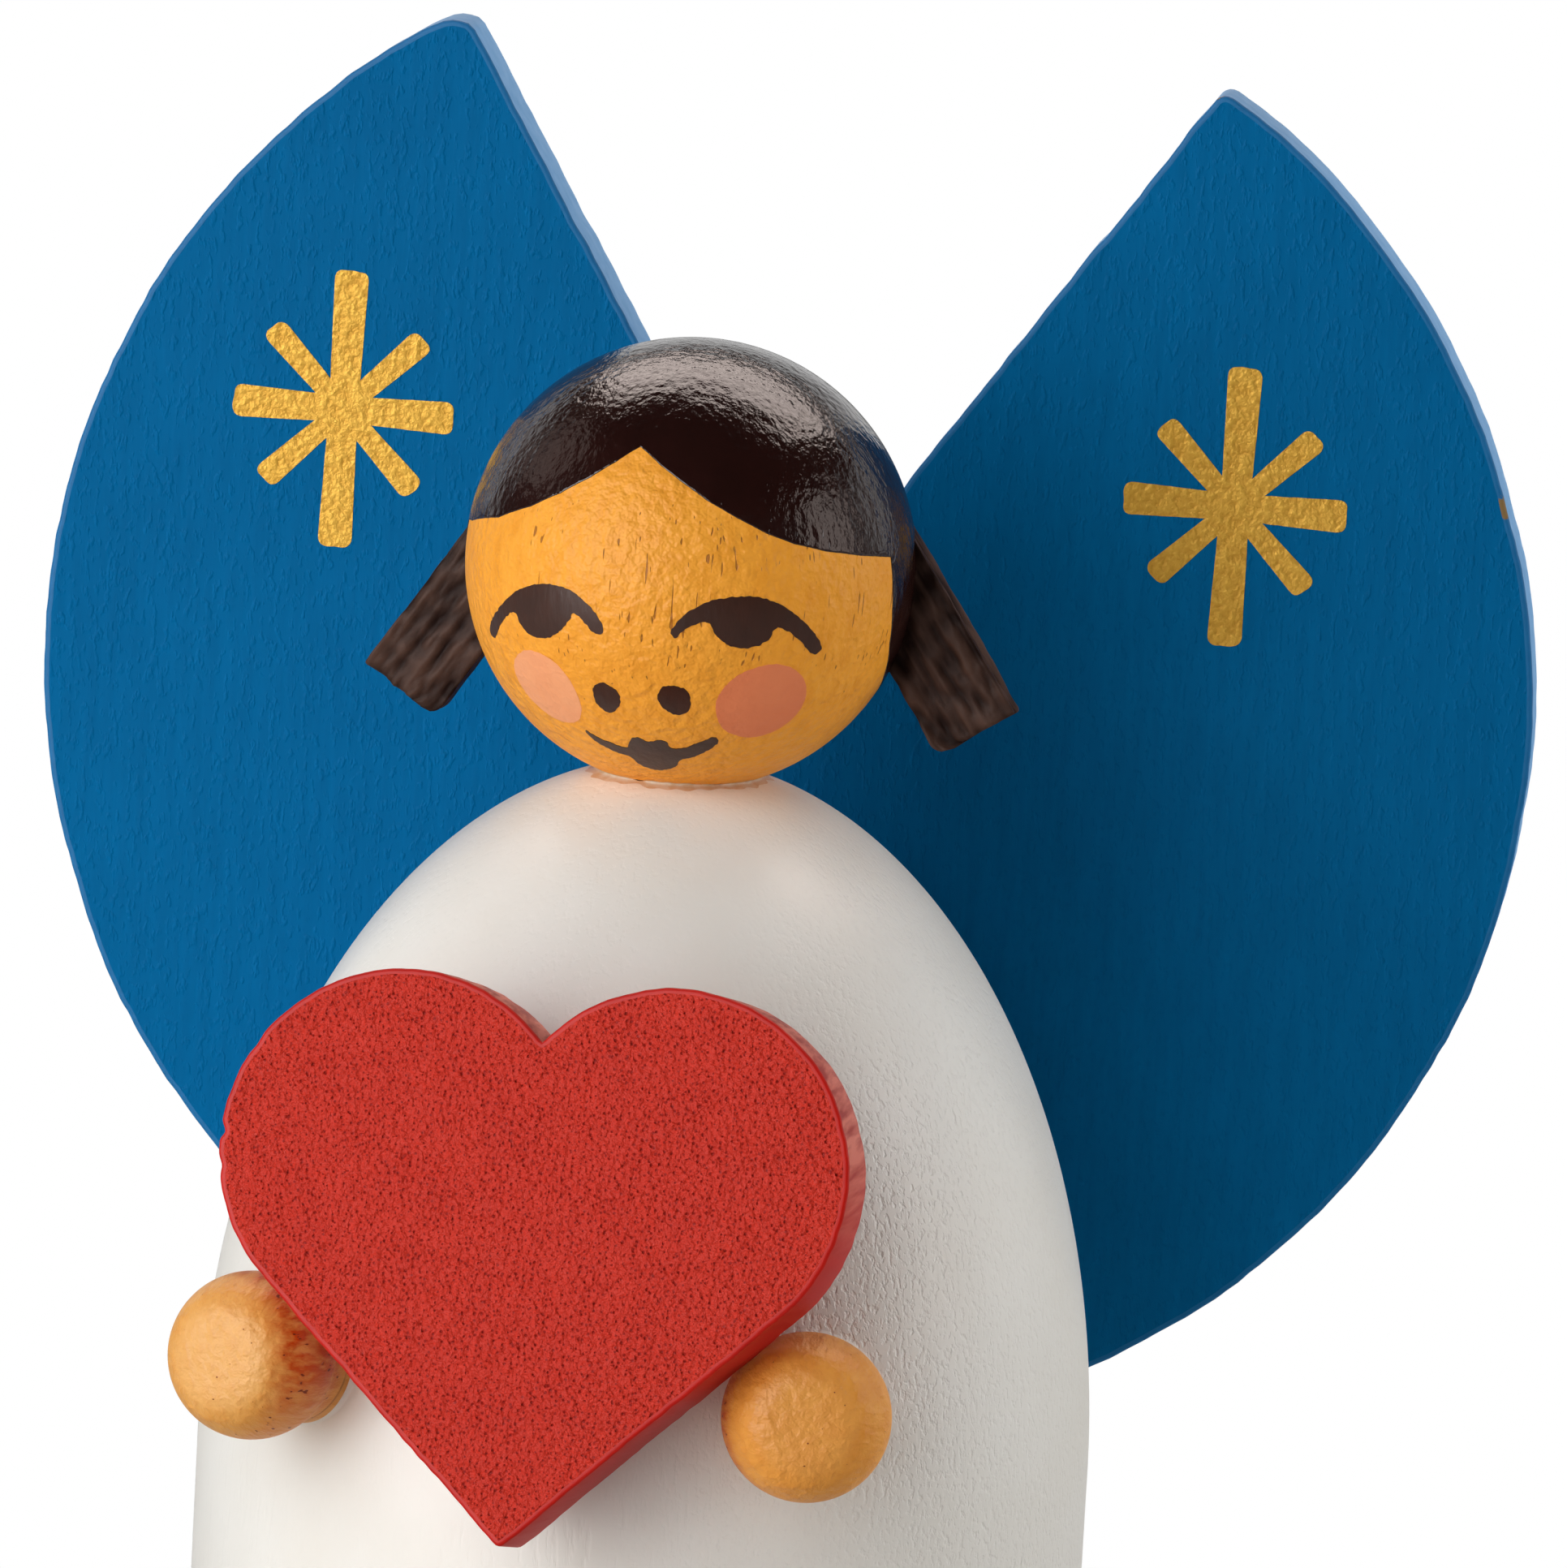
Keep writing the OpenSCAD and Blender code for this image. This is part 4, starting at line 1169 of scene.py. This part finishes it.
# Paper is matte and nearly white. It keeps the figure's shadow and fades to white farther out.
floor_mesh = bpy.data.meshes.new("floor")
floor_mesh.from_pydata([(-half_floor, -half_floor, 0), (half_floor, -half_floor, 0),
                        (half_floor, half_floor, 0), (-half_floor, half_floor, 0)], [], [(0, 1, 2, 3)])
floor = bpy.data.objects.new("floor", floor_mesh)
bpy.context.scene.collection.objects.link(floor)
paper, tree, shader, point = start_material("pale_paper_floor", 0.9, 0.2)
light_path = add(tree, "LightPath", {}, {})
seen_tone = add(tree, "Mix", {"data_type": "RGBA"}, {0: light_path.outputs["Is Camera Ray"],
                                                     6: linear("#CCCAC6"), 7: linear("#EDECE9")})
finish_material(shader, seen_tone.outputs[2])
away = add(tree, "VectorMath", {"operation": "LENGTH"}, {0: point})
fade = add(tree, "MapRange", {"interpolation_type": "SMOOTHSTEP"},
           {0: away.outputs["Value"], 1: shadow_reach, 2: white_from})
whiten = add(tree, "Math", {"operation": "MULTIPLY"},
             {0: fade.outputs[0], 1: light_path.outputs["Is Camera Ray"]})
glow = add(tree, "Emission", {}, {"Color": (1, 1, 1, 1), "Strength": 1.0})
sheet = add(tree, "MixShader", {}, {0: whiten.outputs[0], 1: shader.outputs[0], 2: glow.outputs[0]})
tree.links.new(sheet.outputs[0], tree.nodes["Material Output"].inputs["Surface"])
floor_mesh.materials.append(paper)

# The backdrop is white to the camera, dim as a lamp, and bright behind the figure where gloss mirrors it.
world = bpy.data.worlds.new("white_studio")
bpy.context.scene.world = world
world.use_nodes = True
tree = world.node_tree
background = tree.nodes["Background"]
background.inputs["Color"].default_value = (1, 1, 1, 1)
direction = add(tree, "TexCoord", {}, {})
parts = add(tree, "SeparateXYZ", {}, {0: direction.outputs["Generated"]})
light_path = add(tree, "LightPath", {}, {})
backdrop = add(tree, "MapRange", {"interpolation_type": "SMOOTHSTEP"},
               {0: parts.outputs["Y"], 1: 0.3, 2: 0.7, 3: 0.04, 4: 0.95})
room = add(tree, "MapRange", {"interpolation_type": "SMOOTHSTEP"},
           {0: parts.outputs["Y"], 1: -0.2, 2: 0.6, 3: 0.02, 4: 0.1})
backdrop_top = add(tree, "MapRange", {"interpolation_type": "SMOOTHSTEP"},
                   {0: parts.outputs["Z"], 1: 0.42, 2: 0.52, 3: 1.0, 4: 0.03})
mirrored = add(tree, "Math", {"operation": "MULTIPLY"}, {0: backdrop.outputs[0], 1: backdrop_top.outputs[0]})
lighting = add(tree, "Mix", {"data_type": "FLOAT"},
               {0: light_path.outputs["Is Glossy Ray"], 2: room.outputs[0], 3: mirrored.outputs[0]})
seen = add(tree, "Math", {"operation": "MAXIMUM"},
           {0: light_path.outputs["Is Camera Ray"], 1: light_path.outputs["Is Transmission Ray"]})
level = add(tree, "Mix", {"data_type": "FLOAT"}, {0: seen.outputs[0], 2: lighting.outputs[0], 3: 1.0})
tree.links.new(level.outputs[0], background.inputs["Strength"])

look_at = Vector((0, 0, 0.028))
# Each lamp is given by degrees round and up, distance, width and height in metres, brightness, colour,
# and whether it lights the paint and shows in the gloss.
soft_boxes = [
    ("key_box", -31.0, 18.0, 0.20, 0.22, 0.22, 3.15, "#FFFFFF", True, False),
    ("key_card", -31.0, 14.0, 0.20, 0.14, 0.14, 6.55, "#FFFFFF", False, True),
    ("left_box", -95.0, 20.0, 0.45, 0.30, 0.30, 0.7, "#EAF3FF", True, False),
    ("right_box", 104.0, 10.0, 0.45, 0.25, 0.25, 3.1, "#FFFFFF", True, False),
    ("rim_box", 118.0, 18.0, 0.45, 0.30, 0.30, 2.5, "#FFFFFF", True, False),
    ("back_box", -150.0, 25.0, 0.45, 0.30, 0.30, 2.0, "#FFFFFF", True, False),
    ("left_card", -94.0, 34.0, 0.45, 0.20, 0.20, 0.65, "#FFE8DE", False, True),
    ("right_card", 92.0, 20.0, 0.40, 0.18, 0.22, 1.8, "#FFEEE6", False, True),
    ("overhead_card", 180.0, 60.0, 0.40, 0.52, 0.22, 4.8, "#FFEEE6", False, True)]
for name, azimuth, elevation, distance, width, height, radiance, colour, on_paint, in_gloss in soft_boxes:
    lamp = bpy.data.lights.new(name, "AREA")
    lamp.shape = "RECTANGLE"
    lamp.size = width
    lamp.size_y = height
    lamp.energy = radiance * math.pi * width * height
    lamp.color = linear(colour)[:3]
    holder = bpy.data.objects.new(name, lamp)
    bpy.context.scene.collection.objects.link(holder)
    round_angle = math.radians(azimuth)
    up_angle = math.radians(elevation)
    away = Vector((math.sin(round_angle) * math.cos(up_angle), -math.cos(round_angle) * math.cos(up_angle),
                   math.sin(up_angle)))
    holder.location = look_at + away * distance
    holder.rotation_mode = "QUATERNION"
    holder.rotation_quaternion = away.to_track_quat("Z", "Y")
    holder.visible_diffuse = on_paint
    holder.visible_glossy = in_gloss

back = Vector((math.sin(camera_azimuth) * math.cos(camera_elevation),
               -math.cos(camera_azimuth) * math.cos(camera_elevation), math.sin(camera_elevation)))
level_right = Vector((math.cos(camera_azimuth), math.sin(camera_azimuth), 0))
level_up = back.cross(level_right)
right = level_right * math.cos(camera_roll) + level_up * math.sin(camera_roll)
up = level_up * math.cos(camera_roll) - level_right * math.sin(camera_roll)
eye = Vector((0, 0, wide_level)) + level_right * view_right + level_up * view_up + back * camera_distance
lens = bpy.data.cameras.new("photo_camera")
lens.sensor_fit = "HORIZONTAL"
lens.sensor_width = film_width
lens.lens = film_width * camera_distance / view_width
lens.clip_start = 0.01
lens.clip_end = 20.0
camera = bpy.data.objects.new("photo_camera", lens)
bpy.context.scene.collection.objects.link(camera)
turn = Matrix((right, up, back)).transposed()
camera.matrix_world = Matrix.Translation(eye * MM) @ turn.to_4x4()
bpy.context.scene.camera = camera
bpy.context.scene.view_settings.view_transform = "Standard"
